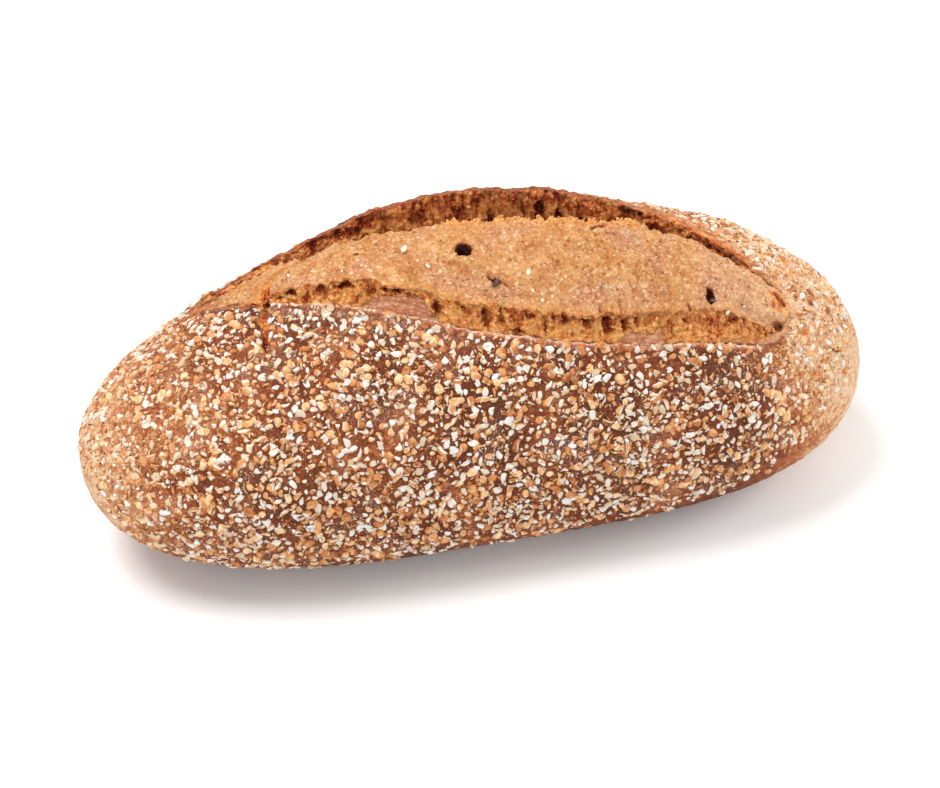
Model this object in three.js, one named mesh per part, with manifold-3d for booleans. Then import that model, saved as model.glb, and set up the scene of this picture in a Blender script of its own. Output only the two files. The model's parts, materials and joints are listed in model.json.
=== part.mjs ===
// A hearth-baked wheat loaf: a long oval bread, rolled in cracked wheat before it was
// slashed once from end to end. In the oven the cut opened. Its front edge stayed low as a
// thin lip, the dough behind it swelled up as a smooth tongue with a torn wall in front,
// and its back edge lifted into an ear that leans over a deep crevice.
//
// Millimetres. +X runs along the loaf, +Y to its back (the ear's side), +Z up. The origin
// is under the middle of the loaf, on the surface that it stands on.
import * as THREE from "three";
import { mergeVertices } from "three/addons/utils/BufferGeometryUtils.js";
import Module from "manifold-3d";

// ---- Driving dimensions of the whole loaf ------------------------------------------
const LENGTH = 280;
const WIDTH = 128.5;
const CROWN = 98; // height of the closed loaf over its base, before the cut opened
const WAIST = 32; // height of the widest line, in the middle of the loaf
const TIP_HEIGHT = 38; // height of both end tips
const SQUEEZE = 4; // how far the round underside is flattened by the hearth
const BOW = 11.5; // the end tips lie this far forward of the middle
const SKEW = 2; // the right half swings back by about this much
const RIGHT_WIDER = 0.07; // share by which the right half is wider than the left
const RIGHT_TALLER = 0.02;
const PLAN_ROUNDNESS = 2.82; // exponent of the outline seen from above
const CROWN_ROUNDNESS = 1.75; // exponent of the ridge seen from the side
const SHOULDER = 1.17; // exponent of the upper half of a cross-section
const BELLY = 0.6; // exponent of the lower half: small is square, one is round
const UNDERCUT = 0.8; // how fast the underside lifts towards the tips

// ---- The opened cut -----------------------------------------------------------------
// Each line is [x, value] in millimetres, read from the left tip to the right one.
const CUT_LEFT = -96;
const CUT_RIGHT = 110;
const LIP_LINE = [[-96, 15], [-86, 6], [-75, -4], [-50, -17], [-25, -28], [0, -37],
  [30, -42.5], [60, -45.5], [85, -44.5], [100, -41], [110, -28]];
const RIM_LINE = [[-96, 17], [-86, 24.5], [-74, 25], [-45, 24.5], [-15, 22.5], [14, 19.5],
  [43, 16.5], [66, 9], [78, 2], [90, -11], [110, -27]];
const TONGUE_BACK_LINE = [[-96, 16], [-80, 14], [-62, 14], [-35, 11.5], [-8, 4.5], [20, 2.5],
  [35, 0.5], [62, -3], [75, -7], [88, -15], [110, -27.5]];
const LIP_RISE = [[-96, 0], [-72, 0.6], [-40, 1.2], [60, 1.2], [100, 0.6], [110, 0]];
const WALL_RISE = [[-96, 0], [-76, 0.6], [-66, 3.6], [-45, 5], [10, 5.6], [60, 5], [85, 3.6],
  [102, 1.6], [110, 0]];
const TONGUE_SWELL = [[-96, 0], [-70, 1.4], [-30, 2], [40, 2.2], [90, 1.6], [110, 0]];
const BACK_RISE = [[-96, 0], [-60, 1.6], [0, 3], [60, 2.6], [95, 1], [110, 0]];
const RIM_RISE = [[-96, 0], [-74, 2.2], [-58, 4.8], [-43, 7.3], [-28, 8.9], [0, 11], [14, 11.3],
  [28, 9.2], [43, 7.2], [60, 4.4], [78, 2.2], [95, 0.8], [110, 0]];
const CREVICE_DEPTH = [[-96, 0], [-74, 1], [-50, 4], [-25, 9], [0, 12], [40, 12], [66, 10],
  [84, 5], [98, 1], [110, 0]];
const LIP_THICKNESS = 1.3; // crust that shows on edge behind the lip's crest
const GROOVE_DEPTH = 0.8; // behind the lip, where the wall starts
const WALL_SETBACK = 4.2; // from the lip's crest to the wall's top edge
const LIP_RUN = 7; // the crust in front of the lip rises over this width
const EAR_RUN = 27; // the crust behind the rim falls back over this width
const CREVICE_SHARE = 0.42; // the crevice's bottom lies this far from tongue to rim
const RAGGED = 0.8; // how far the torn edges wander up and down

// A short tear runs down the front crust from the lip's left corner.
const TEAR = { x: -73.5, lean: 0.18, top: -2, bottom: -27, halfWidth: 3.4, depth: 3.2 };

// Gas bubbles that broke through the tongue and the right end of the cut.
const BUBBLES = [
  { x: -3.5, y: -12, across: 5.6, along: 5.8, deep: 4.5 },
  { x: 6.5, y: -27, across: 2.6, along: 6, deep: 2.2 },
  { x: 78, y: -33, across: 4.6, along: 3.6, deep: 2.6 },
  { x: 101, y: -38, across: 2.4, along: 3.6, deep: 2 },
];

// ---- Mesh density ---------------------------------------------------------------------
const COLUMNS = 60;
const FRONT_ROWS = 10;
const BACK_ROWS = 11;
const TONGUE_ROWS = 8;
const LEAST_ROW_BAND = 26; // the cut's rows never draw closer together than this in all

// ---- Cracked wheat --------------------------------------------------------------------
const GRAIN_COUNT = 165;
const GRAIN_SEED = 7;
const GRAIN_LONG = 4.2;
const GRAIN_WIDE = 3.2;
const GRAIN_THICK = 2.6;
const GRAIN_SUNK = 0.5; // share of its thickness below the crust, from its middle
const GRAIN_SPACING = 13;
const BARE_BAND = 4; // crust without grains in front of the lip and behind the rim
const GRAIN_FLOOR = 14; // no grains lower than this

const clamp = THREE.MathUtils.clamp;
const mix = THREE.MathUtils.lerp;
const smooth = (low, high, v) => THREE.MathUtils.smoothstep(v, low, high);

// A smooth line through [x, value] points, flat at both ends.
function along(points) {
  const slope = points.map((p, i) => {
    const a = points[Math.max(0, i - 1)];
    const b = points[Math.min(points.length - 1, i + 1)];
    return (b[1] - a[1]) / (b[0] - a[0]);
  });
  return (x) => {
    if (x <= points[0][0]) return points[0][1];
    const last = points.length - 1;
    if (x >= points[last][0]) return points[last][1];
    const i = points.findIndex((p) => p[0] > x) - 1;
    const span = points[i + 1][0] - points[i][0];
    const t = (x - points[i][0]) / span;
    const t2 = t * t;
    const t3 = t2 * t;
    return (2 * t3 - 3 * t2 + 1) * points[i][1] + (t3 - 2 * t2 + t) * span * slope[i]
      + (3 * t2 - 2 * t3) * points[i + 1][1] + (t3 - t2) * span * slope[i + 1];
  };
}

const lipY = along(LIP_LINE);
const rimY = along(RIM_LINE);
const tongueBackY = along(TONGUE_BACK_LINE);
const lipRise = along(LIP_RISE);
const wallRise = along(WALL_RISE);
const tongueSwell = along(TONGUE_SWELL);
const backRise = along(BACK_RISE);
const rimRise = along(RIM_RISE);
const creviceDepth = along(CREVICE_DEPTH);

// ---- The closed loaf -------------------------------------------------------------------
// Half-width, heights and middle line of the cross-section at x.
function section(x) {
  const u = clamp((2 * x) / LENGTH, -1, 1);
  const plan = Math.sqrt(1 - Math.abs(u) ** PLAN_ROUNDNESS);
  const ridge = Math.sqrt(1 - Math.abs(u) ** CROWN_ROUNDNESS);
  const waist = mix(TIP_HEIGHT, WAIST, ridge);
  return {
    half: (WIDTH / 2) * plan * (1 + RIGHT_WIDER * u),
    middle: -BOW * u * u + SKEW * u * (1 - u * u),
    waist,
    rise: (CROWN * (1 + RIGHT_TALLER * u) - waist) * ridge,
    drop: (waist + SQUEEZE) * Math.min(1, plan ** UNDERCUT),
  };
}

// A point of the closed loaf at x, at an angle round it: 90 degrees is the top, 180 the front.
function closedPoint(x, angle) {
  const s = section(x);
  const up = Math.sin(angle);
  const z = up >= 0
    ? s.waist + s.rise * up ** SHOULDER
    : Math.max(0, s.waist - s.drop * (-up) ** BELLY);
  return new THREE.Vector3(x, s.middle + s.half * Math.cos(angle), z);
}

// ---- The cut's relief ------------------------------------------------------------------
// Uneven waves along the torn edges, the same each time.
const waves = (x, phase) => 0.5 * Math.sin(0.31 * x + phase)
  + 0.3 * Math.sin(0.73 * x + 2.1 * phase) + 0.2 * Math.sin(1.37 * x + 3.7 * phase);

// The stations across the cut at x, from front to back, as [y, height over the closed loaf].
function stations(x) {
  const lip = lipY(x);
  const gap = Math.max(0.6, rimY(x) - lip);
  const rim = lip + gap;
  const narrow = clamp(gap / 40, 0.03, 1);
  const wallTop = lip + WALL_SETBACK * narrow;
  const back = clamp(tongueBackY(x), wallTop + 0.25 * gap, rim - 0.12 * gap);
  const open = smooth(CUT_LEFT, CUT_LEFT + 12, x) * (1 - smooth(CUT_RIGHT - 8, CUT_RIGHT, x));
  const ragged = RAGGED * open;
  return [
    [lip - LIP_RUN, 0],
    [lip, lipRise(x) + 0.3 * ragged * waves(x, 1)],
    [lip + LIP_THICKNESS * narrow, -GROOVE_DEPTH * open],
    [wallTop, wallRise(x) + ragged * waves(x, 2)],
    [back, backRise(x) + ragged * waves(x, 3)],
    [mix(back, rim, CREVICE_SHARE), -creviceDepth(x)],
    [rim, rimRise(x) + ragged * waves(x, 4)],
    [rim + EAR_RUN, 0],
  ];
}

// Height of the opened cut over the closed loaf at x, y.
function relief(x, y) {
  if (x <= CUT_LEFT || x >= CUT_RIGHT) return 0;
  const at = stations(x);
  if (y <= at[0][0] || y >= at[7][0]) return 0;
  const i = at.findIndex((p) => p[0] > y) - 1;
  const t = (y - at[i][0]) / (at[i + 1][0] - at[i][0]);
  if (i === 0) return at[1][1] * t * t;
  if (i === 6) return at[6][1] * (1 - t) ** 2 * (1 + t);
  const straight = mix(at[i][1], at[i + 1][1], t);
  if (i !== 3) return straight;
  return straight + tongueSwell(x) * 2 * Math.sqrt(t * (1 - t)); // the domed tongue
}

// Depth of the short tear in the front crust.
function tear(x, y) {
  const run = (y - TEAR.bottom) / (TEAR.top - TEAR.bottom);
  if (run <= 0 || run >= 1) return 0;
  const middle = TEAR.x + TEAR.lean * (y - TEAR.top);
  const off = Math.abs(x - middle) / (TEAR.halfWidth * (0.4 + 0.6 * run));
  return off >= 1 ? 0 : -TEAR.depth * (1 - off) * Math.min(1, 3 * run);
}

// Low swells that keep the crust from being perfectly regular.
const unevenness = (x, angle) => 0.7 * Math.sin(0.045 * x + 2 * angle)
  + 0.4 * Math.sin(0.11 * x - 3 * angle + 1) + 0.25 * Math.sin(0.19 * x + 5 * angle + 2);

// A point of the baked loaf.
function loafPoint(x, angle) {
  const p = closedPoint(x, angle);
  const up = Math.sin(angle);
  if (up < 0) return p;
  const outward = new THREE.Vector3(0, Math.cos(angle), up).normalize();
  const calm = Math.min(1, 4 * section(x).half / WIDTH) * smooth(0, 0.35, up);
  p.addScaledVector(outward, calm * unevenness(x, angle));
  p.z += relief(x, p.y) + tear(x, p.y);
  return p;
}

// Angle of the closed loaf's upper half at x, y.
function angleAt(x, y) {
  const s = section(x);
  return Math.acos(clamp((y - s.middle) / Math.max(s.half, 1e-6), -0.96, 0.96));
}

// ---- Rows of the mesh round the loaf at x, from under its middle over the front -----------
function rowAngles(x) {
  const inside = smooth(-LENGTH / 2 + 4, CUT_LEFT + 4, x)
    * (1 - smooth(CUT_RIGHT - 4, LENGTH / 2 - 4, x));
  const at = stations(clamp(x, CUT_LEFT + 2, CUT_RIGHT - 2));
  const middle = (at[1][0] + at[6][0]) / 2;
  const wide = Math.max(at[6][0] - at[1][0], LEAST_ROW_BAND);
  const scale = wide / (at[6][0] - at[1][0]);
  const cut = [];
  const put = (y) => cut.push(middle + (y - middle) * scale);
  put(at[1][0] - 2.5);
  put(at[1][0]);
  put(at[2][0]);
  put(mix(at[2][0], at[3][0], 0.5));
  put(at[3][0]);
  for (let k = 1; k < TONGUE_ROWS; k++) {
    const t = k / TONGUE_ROWS;
    put(mix(at[3][0], at[4][0], t - 0.05 * Math.sin(2 * Math.PI * t)));
  }
  put(at[4][0]);
  put(mix(at[4][0], at[5][0], 0.5));
  put(at[5][0]);
  put(mix(at[5][0], at[6][0], 0.5));
  put(at[6][0] - 0.9);
  put(at[6][0] + 0.6);
  const count = cut.length;
  const angles = cut.map((y, k) => {
    const fanned = mix(2.2, 0.9, k / (count - 1)); // radians, where the cut has ended
    return mix(fanned, angleAt(x, y), inside);
  });
  const under = (3 * Math.PI) / 2;
  const front = [];
  for (let k = 0; k < FRONT_ROWS; k++) {
    front.push(mix(under, angles[0], (k / FRONT_ROWS) ** 0.85));
  }
  const back = [];
  for (let k = 1; k < BACK_ROWS; k++) {
    back.push(mix(angles[count - 1], -Math.PI / 2, (k / BACK_ROWS) ** 1.15));
  }
  return [...front, ...angles, ...back];
}

// The loaf's surface: a sphere's grid with its poles at the end tips, moved into shape.
function loafGeometry() {
  const round = rowAngles(0).length;
  const grid = new THREE.SphereGeometry(1, round, COLUMNS);
  const place = grid.getAttribute("position");
  for (let i = 0; i <= COLUMNS; i++) {
    const x = (-LENGTH / 2) * Math.cos((Math.PI * i) / COLUMNS);
    const angles = rowAngles(x);
    for (let k = 0; k <= round; k++) {
      const p = i === 0 || i === COLUMNS ? closedPoint(x, 0) : loafPoint(x, angles[k % round]);
      place.setXYZ(i * (round + 1) + k, p.x, p.y, p.z);
    }
  }
  return grid;
}

// ---- Solids ----------------------------------------------------------------------------------
const wasm = await Module();
wasm.setup();

// A closed mesh as a solid, from its corners alone.
function solid(geometry) {
  geometry.deleteAttribute("normal");
  geometry.deleteAttribute("uv");
  const merged = mergeVertices(geometry, 1e-4);
  return new wasm.Manifold(new wasm.Mesh({
    numProp: 3,
    vertProperties: merged.getAttribute("position").array,
    triVerts: new Uint32Array(merged.index.array),
  }));
}

function geometryOf(made) {
  const mesh = made.getMesh();
  return new THREE.BufferGeometry()
    .setAttribute("position", new THREE.BufferAttribute(mesh.vertProperties, 3))
    .setIndex(new THREE.BufferAttribute(mesh.triVerts, 1));
}

// A stream of numbers from 0 to 1 that is the same each time.
function seeded(seed) {
  let state = seed;
  return () => {
    state = (Math.imul(state, 1664525) + 1013904223) >>> 0;
    return state / 2 ** 32;
  };
}

// The crust's outward direction at x, angle.
function outwardAt(x, angle) {
  const step = 0.01;
  const alongLoaf = closedPoint(x + 0.5, angle).sub(closedPoint(x - 0.5, angle));
  const round = closedPoint(x, angle - step).sub(closedPoint(x, angle + step));
  return alongLoaf.cross(round).normalize().negate();
}

// True where the crust was rolled in cracked wheat and no part of the cut lies.
function isSeeded(x, angle, p) {
  if (p.z < GRAIN_FLOOR) return false;
  if (Math.sin(angle) < 0 || x < CUT_LEFT || x > CUT_RIGHT) return true;
  return p.y < lipY(x) - BARE_BAND || p.y > rimY(x) + BARE_BAND;
}

// One piece of cracked wheat, lying on the crust at x, angle.
function grain(x, angle, random) {
  const size = mix(0.8, 1.15, random());
  const shape = new THREE.IcosahedronGeometry(1, 0);
  shape.scale(
    (GRAIN_LONG / 2) * size,
    (GRAIN_WIDE / 2) * size * mix(0.85, 1.1, random()),
    (GRAIN_THICK / 2) * size,
  );
  const outward = outwardAt(x, angle);
  const turn = new THREE.Quaternion().setFromUnitVectors(new THREE.Vector3(0, 0, 1), outward);
  turn.multiply(new THREE.Quaternion().setFromAxisAngle(
    new THREE.Vector3(0, 0, 1),
    Math.PI * random(),
  ));
  shape.applyQuaternion(turn);
  const at = loafPoint(x, angle).addScaledVector(outward, -GRAIN_SUNK * GRAIN_THICK / 2);
  return shape.translate(at.x, at.y, at.z);
}

// Grains spread evenly over the seeded crust, by a seeded draw that keeps them apart.
function grains() {
  const random = seeded(GRAIN_SEED);
  const taken = [];
  const made = [];
  for (let tries = 0; tries < 12000 && made.length < GRAIN_COUNT; tries++) {
    const x = mix(-LENGTH / 2 + 3, LENGTH / 2 - 3, random());
    const angle = mix(-0.55, Math.PI + 0.55, random());
    const p = loafPoint(x, angle);
    if (!isSeeded(x, angle, p)) continue;
    if (taken.some((q) => q.distanceTo(p) < GRAIN_SPACING)) continue;
    taken.push(p);
    made.push(solid(grain(x, angle, random)));
  }
  return made;
}

// A bubble's hollow, an ellipsoid with its middle on the tongue's surface.
function bubble(b) {
  const p = loafPoint(b.x, angleAt(b.x, b.y));
  const shape = new THREE.SphereGeometry(1, 10, 6);
  shape.scale(b.across / 2, b.along / 2, b.deep);
  return solid(shape.translate(p.x, p.y, p.z));
}

function loafSolid() {
  let loaf = solid(loafGeometry());
  for (const b of BUBBLES) loaf = loaf.subtract(bubble(b));
  for (const g of grains()) loaf = loaf.add(g);
  // A grain over a hollow may miss the crust: only the loaf itself is kept.
  return loaf.decompose().reduce((a, b) => (a.volume() > b.volume() ? a : b));
}

const bread = new THREE.MeshStandardMaterial({ color: 0xb5763f, roughness: 0.85, metalness: 0 });
const loaf = new THREE.Mesh(geometryOf(loafSolid()), bread);
loaf.name = "loaf";

const group = new THREE.Group();
group.add(loaf);

export default group;
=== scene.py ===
import json
import math

import bmesh
import bpy
import numpy as np
from mathutils import Matrix, Vector, noise
from mathutils.bvhtree import BVHTree

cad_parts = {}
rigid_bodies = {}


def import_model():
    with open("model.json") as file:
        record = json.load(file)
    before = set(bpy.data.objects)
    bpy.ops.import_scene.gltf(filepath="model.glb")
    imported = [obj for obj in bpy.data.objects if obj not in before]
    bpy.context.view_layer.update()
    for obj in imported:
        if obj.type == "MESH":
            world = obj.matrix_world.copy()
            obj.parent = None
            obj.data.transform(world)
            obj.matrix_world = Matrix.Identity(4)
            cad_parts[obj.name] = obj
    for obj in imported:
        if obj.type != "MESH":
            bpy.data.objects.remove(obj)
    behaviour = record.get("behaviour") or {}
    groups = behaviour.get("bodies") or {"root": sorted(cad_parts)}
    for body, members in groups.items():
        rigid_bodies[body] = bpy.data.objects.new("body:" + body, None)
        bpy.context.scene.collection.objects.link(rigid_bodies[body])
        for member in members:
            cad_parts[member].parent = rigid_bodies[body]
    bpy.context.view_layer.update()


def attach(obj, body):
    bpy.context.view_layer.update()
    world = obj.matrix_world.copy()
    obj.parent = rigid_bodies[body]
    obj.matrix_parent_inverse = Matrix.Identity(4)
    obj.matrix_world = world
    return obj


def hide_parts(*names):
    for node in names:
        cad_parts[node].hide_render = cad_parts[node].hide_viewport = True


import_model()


# ---- Camera ------------------------------------------------------------------------------
# The loaf is seen from in front and above, a little from its left end, through a long lens
# at about arm's length.
VIEW_AZIMUTH = math.radians(-14.75)
VIEW_ELEVATION = math.radians(40)
VIEW_DISTANCE = 1.0
VIEW_CENTRE = Vector((-0.0024, -0.0115, 0.0389))
VIEW_LENS = 109.2

towards_camera = Vector((
    math.sin(VIEW_AZIMUTH) * math.cos(VIEW_ELEVATION),
    -math.cos(VIEW_AZIMUTH) * math.cos(VIEW_ELEVATION),
    math.sin(VIEW_ELEVATION),
))


def add_object(name, data):
    """A new object in the scene."""
    made = bpy.data.objects.new(name, data)
    bpy.context.collection.objects.link(made)
    return made


camera = add_object("camera", bpy.data.cameras.new("camera"))
camera.data.lens = VIEW_LENS
camera.location = VIEW_CENTRE + towards_camera * VIEW_DISTANCE
camera.rotation_euler = (-towards_camera).to_track_quat("-Z", "Y").to_euler()
bpy.context.scene.camera = camera


# ---- Studio ------------------------------------------------------------------------------
# A white sweep of floor under wide soft lamps. The main lamp hangs over the loaf, towards
# its back left; two weaker ones fill its front and its right end.
FLOOR_HALF = 3.0
ROOM_LIGHT = 0.6
LAMPS = [
    # name, place, width, power in watts
    ("lamp_over", (-0.5, 0.35, 1.3), 1.0, 18.5),
    ("lamp_front", (-0.55, -1.35, 0.95), 0.8, 7.8),
    ("lamp_right", (1.25, -0.1, 0.7), 0.7, 9.0),
]


def put(tree, kind, inputs=None, **settings):
    """Adds a node to a tree, sets its settings, and fills its inputs with values or links."""
    node = tree.nodes.new(kind)
    for name, value in settings.items():
        setattr(node, name, value)
    for key, value in (inputs or {}).items():
        if isinstance(value, bpy.types.NodeSocket):
            tree.links.new(value, node.inputs[key])
        else:
            node.inputs[key].default_value = value
    return node


def colour(red, green, blue):
    """A linear colour from the red, green and blue of 0 to 255 that the eye sees."""
    def linear(part):
        part /= 255
        return part / 12.92 if part <= 0.04045 else ((part + 0.055) / 1.055) ** 2.4
    return (linear(red), linear(green), linear(blue), 1.0)


def empty_material(name):
    """A material with a Principled BSDF and nothing else, and its node tree."""
    material = bpy.data.materials.new(name)
    material.use_nodes = True
    tree = material.node_tree
    tree.nodes.clear()
    shader = put(tree, "ShaderNodeBsdfPrincipled")
    put(tree, "ShaderNodeOutputMaterial", {"Surface": shader.outputs["BSDF"]})
    return material, tree, shader


floor_mesh = bpy.data.meshes.new("floor")
floor_mesh.from_pydata(
    [(x * FLOOR_HALF, y * FLOOR_HALF, 0.0) for x, y in ((-1, -1), (1, -1), (1, 1), (-1, 1))],
    [], [(0, 1, 2, 3)],
)
floor = add_object("floor", floor_mesh)
floor_paint, _, floor_shader = empty_material("white floor")
floor_shader.inputs["Base Color"].default_value = colour(246, 246, 246)
floor_shader.inputs["Roughness"].default_value = 0.9
floor_mesh.materials.append(floor_paint)

for lamp_name, place, width, power in LAMPS:
    lamp_data = bpy.data.lights.new(lamp_name, "AREA")
    lamp_data.shape = "DISK"
    lamp_data.size = width
    lamp_data.energy = power
    lamp = add_object(lamp_name, lamp_data)
    lamp.location = place
    lamp.rotation_euler = (VIEW_CENTRE - Vector(place)).to_track_quat("-Z", "Y").to_euler()

room = bpy.data.worlds.new("room")
room.use_nodes = True
room.node_tree.nodes["Background"].inputs["Color"].default_value = (1, 1, 1, 1)
room.node_tree.nodes["Background"].inputs["Strength"].default_value = ROOM_LIGHT
bpy.context.scene.world = room
bpy.context.scene.view_settings.view_transform = "Standard"


# ---- The loaf ----------------------------------------------------------------------------
# A long oval bread, slashed once along its top: the cut's front edge stayed low as a thin
# lip, the dough behind it swelled up as a tongue with a torn wall, and its back edge rose
# into an ear over a crevice. One closed skin of rings across the loaf, in millimetres.
LENGTH = 280
WIDTH = 128.5
CROWN = 98
WAIST = 32
TIP_HEIGHT = 38
SQUEEZE = 4
BOW = 11.5
SKEW = 2
RIGHT_WIDER = 0.07
RIGHT_TALLER = 0.02
PLAN_ROUNDNESS = 2.82
CROWN_ROUNDNESS = 1.75
SHOULDER = 1.17
BELLY = 0.6
UNDERCUT = 0.8

CUT_LEFT = -96
CUT_RIGHT = 110
LIP_LINE = [(-96, 15), (-86, 6), (-75, -4), (-50, -17), (-25, -28), (0, -37), (30, -42.5),
            (60, -45.5), (85, -44.5), (100, -41), (110, -28)]
RIM_LINE = [(-96, 17), (-86, 24.5), (-74, 25), (-45, 24.5), (-15, 22.5), (14, 19.5),
            (43, 16.5), (66, 9), (78, 2), (90, -11), (110, -27)]
TONGUE_BACK_LINE = [(-96, 16), (-80, 14), (-62, 14), (-35, 11.5), (-8, 4.5), (20, 2.5),
                    (35, 0.5), (62, -3), (75, -7), (88, -15), (110, -27.5)]
LIP_RISE = [(-96, 0), (-77, 0), (-69, 1.3), (-40, 1.4), (60, 1.4), (86, 0.9), (98, 0.2),
            (110, 0)]
WALL_RISE = [(-96, 0), (-78, 0.5), (-66, 4), (-45, 6.2), (-34, 6.8), (-18, 5.6), (10, 6),
             (60, 5.8), (85, 4.2), (98, 1.6), (106, 0.3), (110, 0)]
TONGUE_SWELL = [(-96, 0), (-70, 1.4), (-30, 2), (40, 2.2), (90, 1.6), (110, 0)]
BACK_RISE = [(-96, 0), (-60, 1.6), (0, 3), (60, 2.6), (95, 1), (110, 0)]
RIM_RISE = [(-96, 0), (-74, 2.2), (-58, 4.8), (-43, 7.3), (-28, 8.9), (0, 11), (14, 11.3),
            (28, 9.2), (43, 7.2), (60, 4.4), (78, 2.2), (95, 0.8), (110, 0)]
CREVICE_DEPTH = [(-96, 0), (-74, 1), (-50, 4), (-25, 9), (0, 12), (40, 12), (66, 10),
                 (84, 5), (98, 1), (110, 0)]
LIP_THICKNESS = 1.3
GROOVE_DEPTH = 0.8
WALL_SETBACK = [(-96, 4.2), (-66, 4.8), (-50, 6), (-36, 6.8), (-22, 5.2), (0, 5), (40, 5.2),
                (66, 6.4), (90, 6.6), (110, 5)]
LIP_RUN = 7
EAR_RUN = 27
CREVICE_SHARE = 0.42
RAGGED = 0.8

# Share of the wall's height that is reddish dough skin and not torn crumb.
LEDGE_SHARE = [(-96, 1), (-84, 0.8), (-77, 0.3), (-73, 0.05), (-46, 0.05), (-41, 0.3),
               (-34, 0.52), (-28, 0.66), (-23, 0.72), (-19.5, 0.3), (-17, 0.05), (40, 0.05),
               (44.5, 0.42), (50, 0.5), (56, 0.42), (59, 0.05), (86, 0.12), (98, 0.5),
               (106, 1)]

# Short tear down the front crust: x and y of its top, lean, y of its foot, half-width,
# depth, and how far the crust on its right stands up.
TEAR_X = -71
TEAR_TOP = 2
TEAR_LEAN = 0.2
TEAR_FOOT = -28
TEAR_HALF_WIDTH = 4.8
TEAR_DEPTH = 5.0
TEAR_SHOULDER = 1.1

# Burst gas bubbles in the tongue: x, y, half-width along x and along y, lean, depth.
BUBBLES = [
    (-4.7, -12.2, 3.3, 3.7, 0, 7.0),
    (-5.8, -20.4, 1.8, 2.2, 0, 1.1),
    (3.5, -25.6, 3.3, 1.4, -0.66, 3.6),
    (36.8, -37.7, 1.8, 0.8, -0.3, 1.6),
    (67.4, -37.7, 1.0, 1.2, 0, 1.6),
    (76, -34, 1.9, 2.9, 0.1, 4.0),
    (90, -12, 1.2, 2.2, -0.6, 3.2),
    (100.3, -37.6, 2.2, 1.3, 0.2, 1.9),
    (104, -28, 2.2, 1.6, -0.8, 1.6),
    (44.7, -4.8, 3.0, 1.5, 0.15, 2.6),
    (42.6, -9.8, 1.7, 1.1, 0, 1.8),
    (47.6, -9.2, 2.2, 1.0, -0.3, 1.8),
]

# Folds of the tongue's skin: x, y of both ends, half-width, depth. A ridge has one below 0.
FOLDS = [
    (-4, -20, -2, -27, 1.3, 0.5),
    (-2.3, -27.5, 5.5, -34, 0.7, 1.3),
    (61.5, -34, 60.5, -43, 1.1, 1.4),
    (57, -24, 61.5, -33, 1.6, 0.4),
    (-38, -1, -22, -9, 2.2, 0.6),
    (84, -33, 97, -38, 1.2, 0.6),
    (18, -14, 34, -16, 1.8, 0.6),
    (60, -12, 66, -17, 1.2, -0.7),
    (-46, 0.5, -37, -2.5, 1.3, -0.7),
]

# Where the torn wall is hollow: x, height on it, half-width, half-height, depth. Heights are
# shares of the wall's height.
WALL_POCKETS = [
    (-67, 0.45, 1.2, 0.3, 1.8), (-63.5, 0.7, 2.0, 0.2, 2.4), (-58.5, 0.4, 1.7, 0.28, 3.0),
    (-52, 0.62, 1.2, 0.36, 3.4), (-46, 0.8, 3.4, 0.17, 3.6), (-42, 0.35, 1.1, 0.2, 2.0),
    (-37.5, 0.6, 2.3, 0.24, 3.4), (-33.5, 0.84, 1.3, 0.14, 3.4), (-29.3, 0.82, 1.9, 0.16, 4.2),
    (-26, 0.66, 1.4, 0.14, 3.0), (-17.5, 0.55, 2.1, 0.34, 3.8), (-9, 0.82, 1.0, 0.12, 2.0),
    (-2.5, 0.55, 1.7, 0.42, 4.4), (2.5, 0.5, 1.2, 0.25, 2.4), (7.5, 0.18, 3.0, 0.16, 3.8),
    (12.5, 0.8, 2.0, 0.16, 2.6), (17, 0.5, 0.9, 0.34, 2.4), (24, 0.78, 1.9, 0.2, 2.8),
    (31, 0.7, 1.7, 0.24, 2.8), (38, 0.6, 2.3, 0.36, 4.2), (44.5, 0.66, 1.9, 0.3, 4.2),
    (52, 0.78, 2.8, 0.18, 2.0), (60.5, 0.5, 0.9, 0.5, 1.8), (65, 0.72, 1.0, 0.14, 2.0),
    (73, 0.6, 3.4, 0.28, 1.9), (82.5, 0.75, 1.3, 0.18, 1.8),
]

# Hollows in the ear's inner face, in the same terms.
EAR_HOLLOWS = [
    (-34, 0.62, 1.6, 0.12, 2.0), (-14, 0.6, 2.7, 0.15, 3.8), (0, 0.5, 1.2, 0.25, 2.0),
    (12, 0.5, 1.6, 0.2, 2.2), (24, 0.6, 1.3, 0.1, 3.2), (29.5, 0.64, 2.2, 0.17, 5.0),
    (36, 0.5, 1.8, 0.14, 4.2), (43.5, 0.42, 3.8, 0.14, 5.0), (59, 0.5, 4.6, 0.22, 5.0),
    (70, 0.55, 2.6, 0.22, 3.6), (80, 0.6, 1.6, 0.25, 3.0),
]
# The way into the loaf from the wall and from the ear's inner face.
INWARD = (0, 0.94, -0.34)

# The way that the dough stretched along the tongue: x, degrees from the loaf's length.
STRETCH = [(-96, 10), (-60, -5), (-30, -35), (20, -52), (62, -60), (95, -30), (110, -10)]

# The crust without grains: height of the foot, and width of the band behind the ear's rim.
BARE_FOOT = [(-140, 42), (-132, 29), (-118, 19), (-95, 14), (0, 14), (60, 17), (92, 24),
             (115, 36), (128, 46), (140, 56)]
BARE_RIM = [(-96, 1), (-84, 2), (-74, 5), (-50, 7), (0, 9), (30, 9), (44, 8), (60, 7),
            (74, 8), (86, 11), (94, 7), (102, 2), (110, 1)]

# Height, as a share of the ear's inner face, at which its smooth crust begins.
CRUST_EDGE = [(-96, 0.7), (-60, 0.85), (-40, 0.95), (60, 0.95), (85, 0.8), (110, 0.5)]

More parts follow.
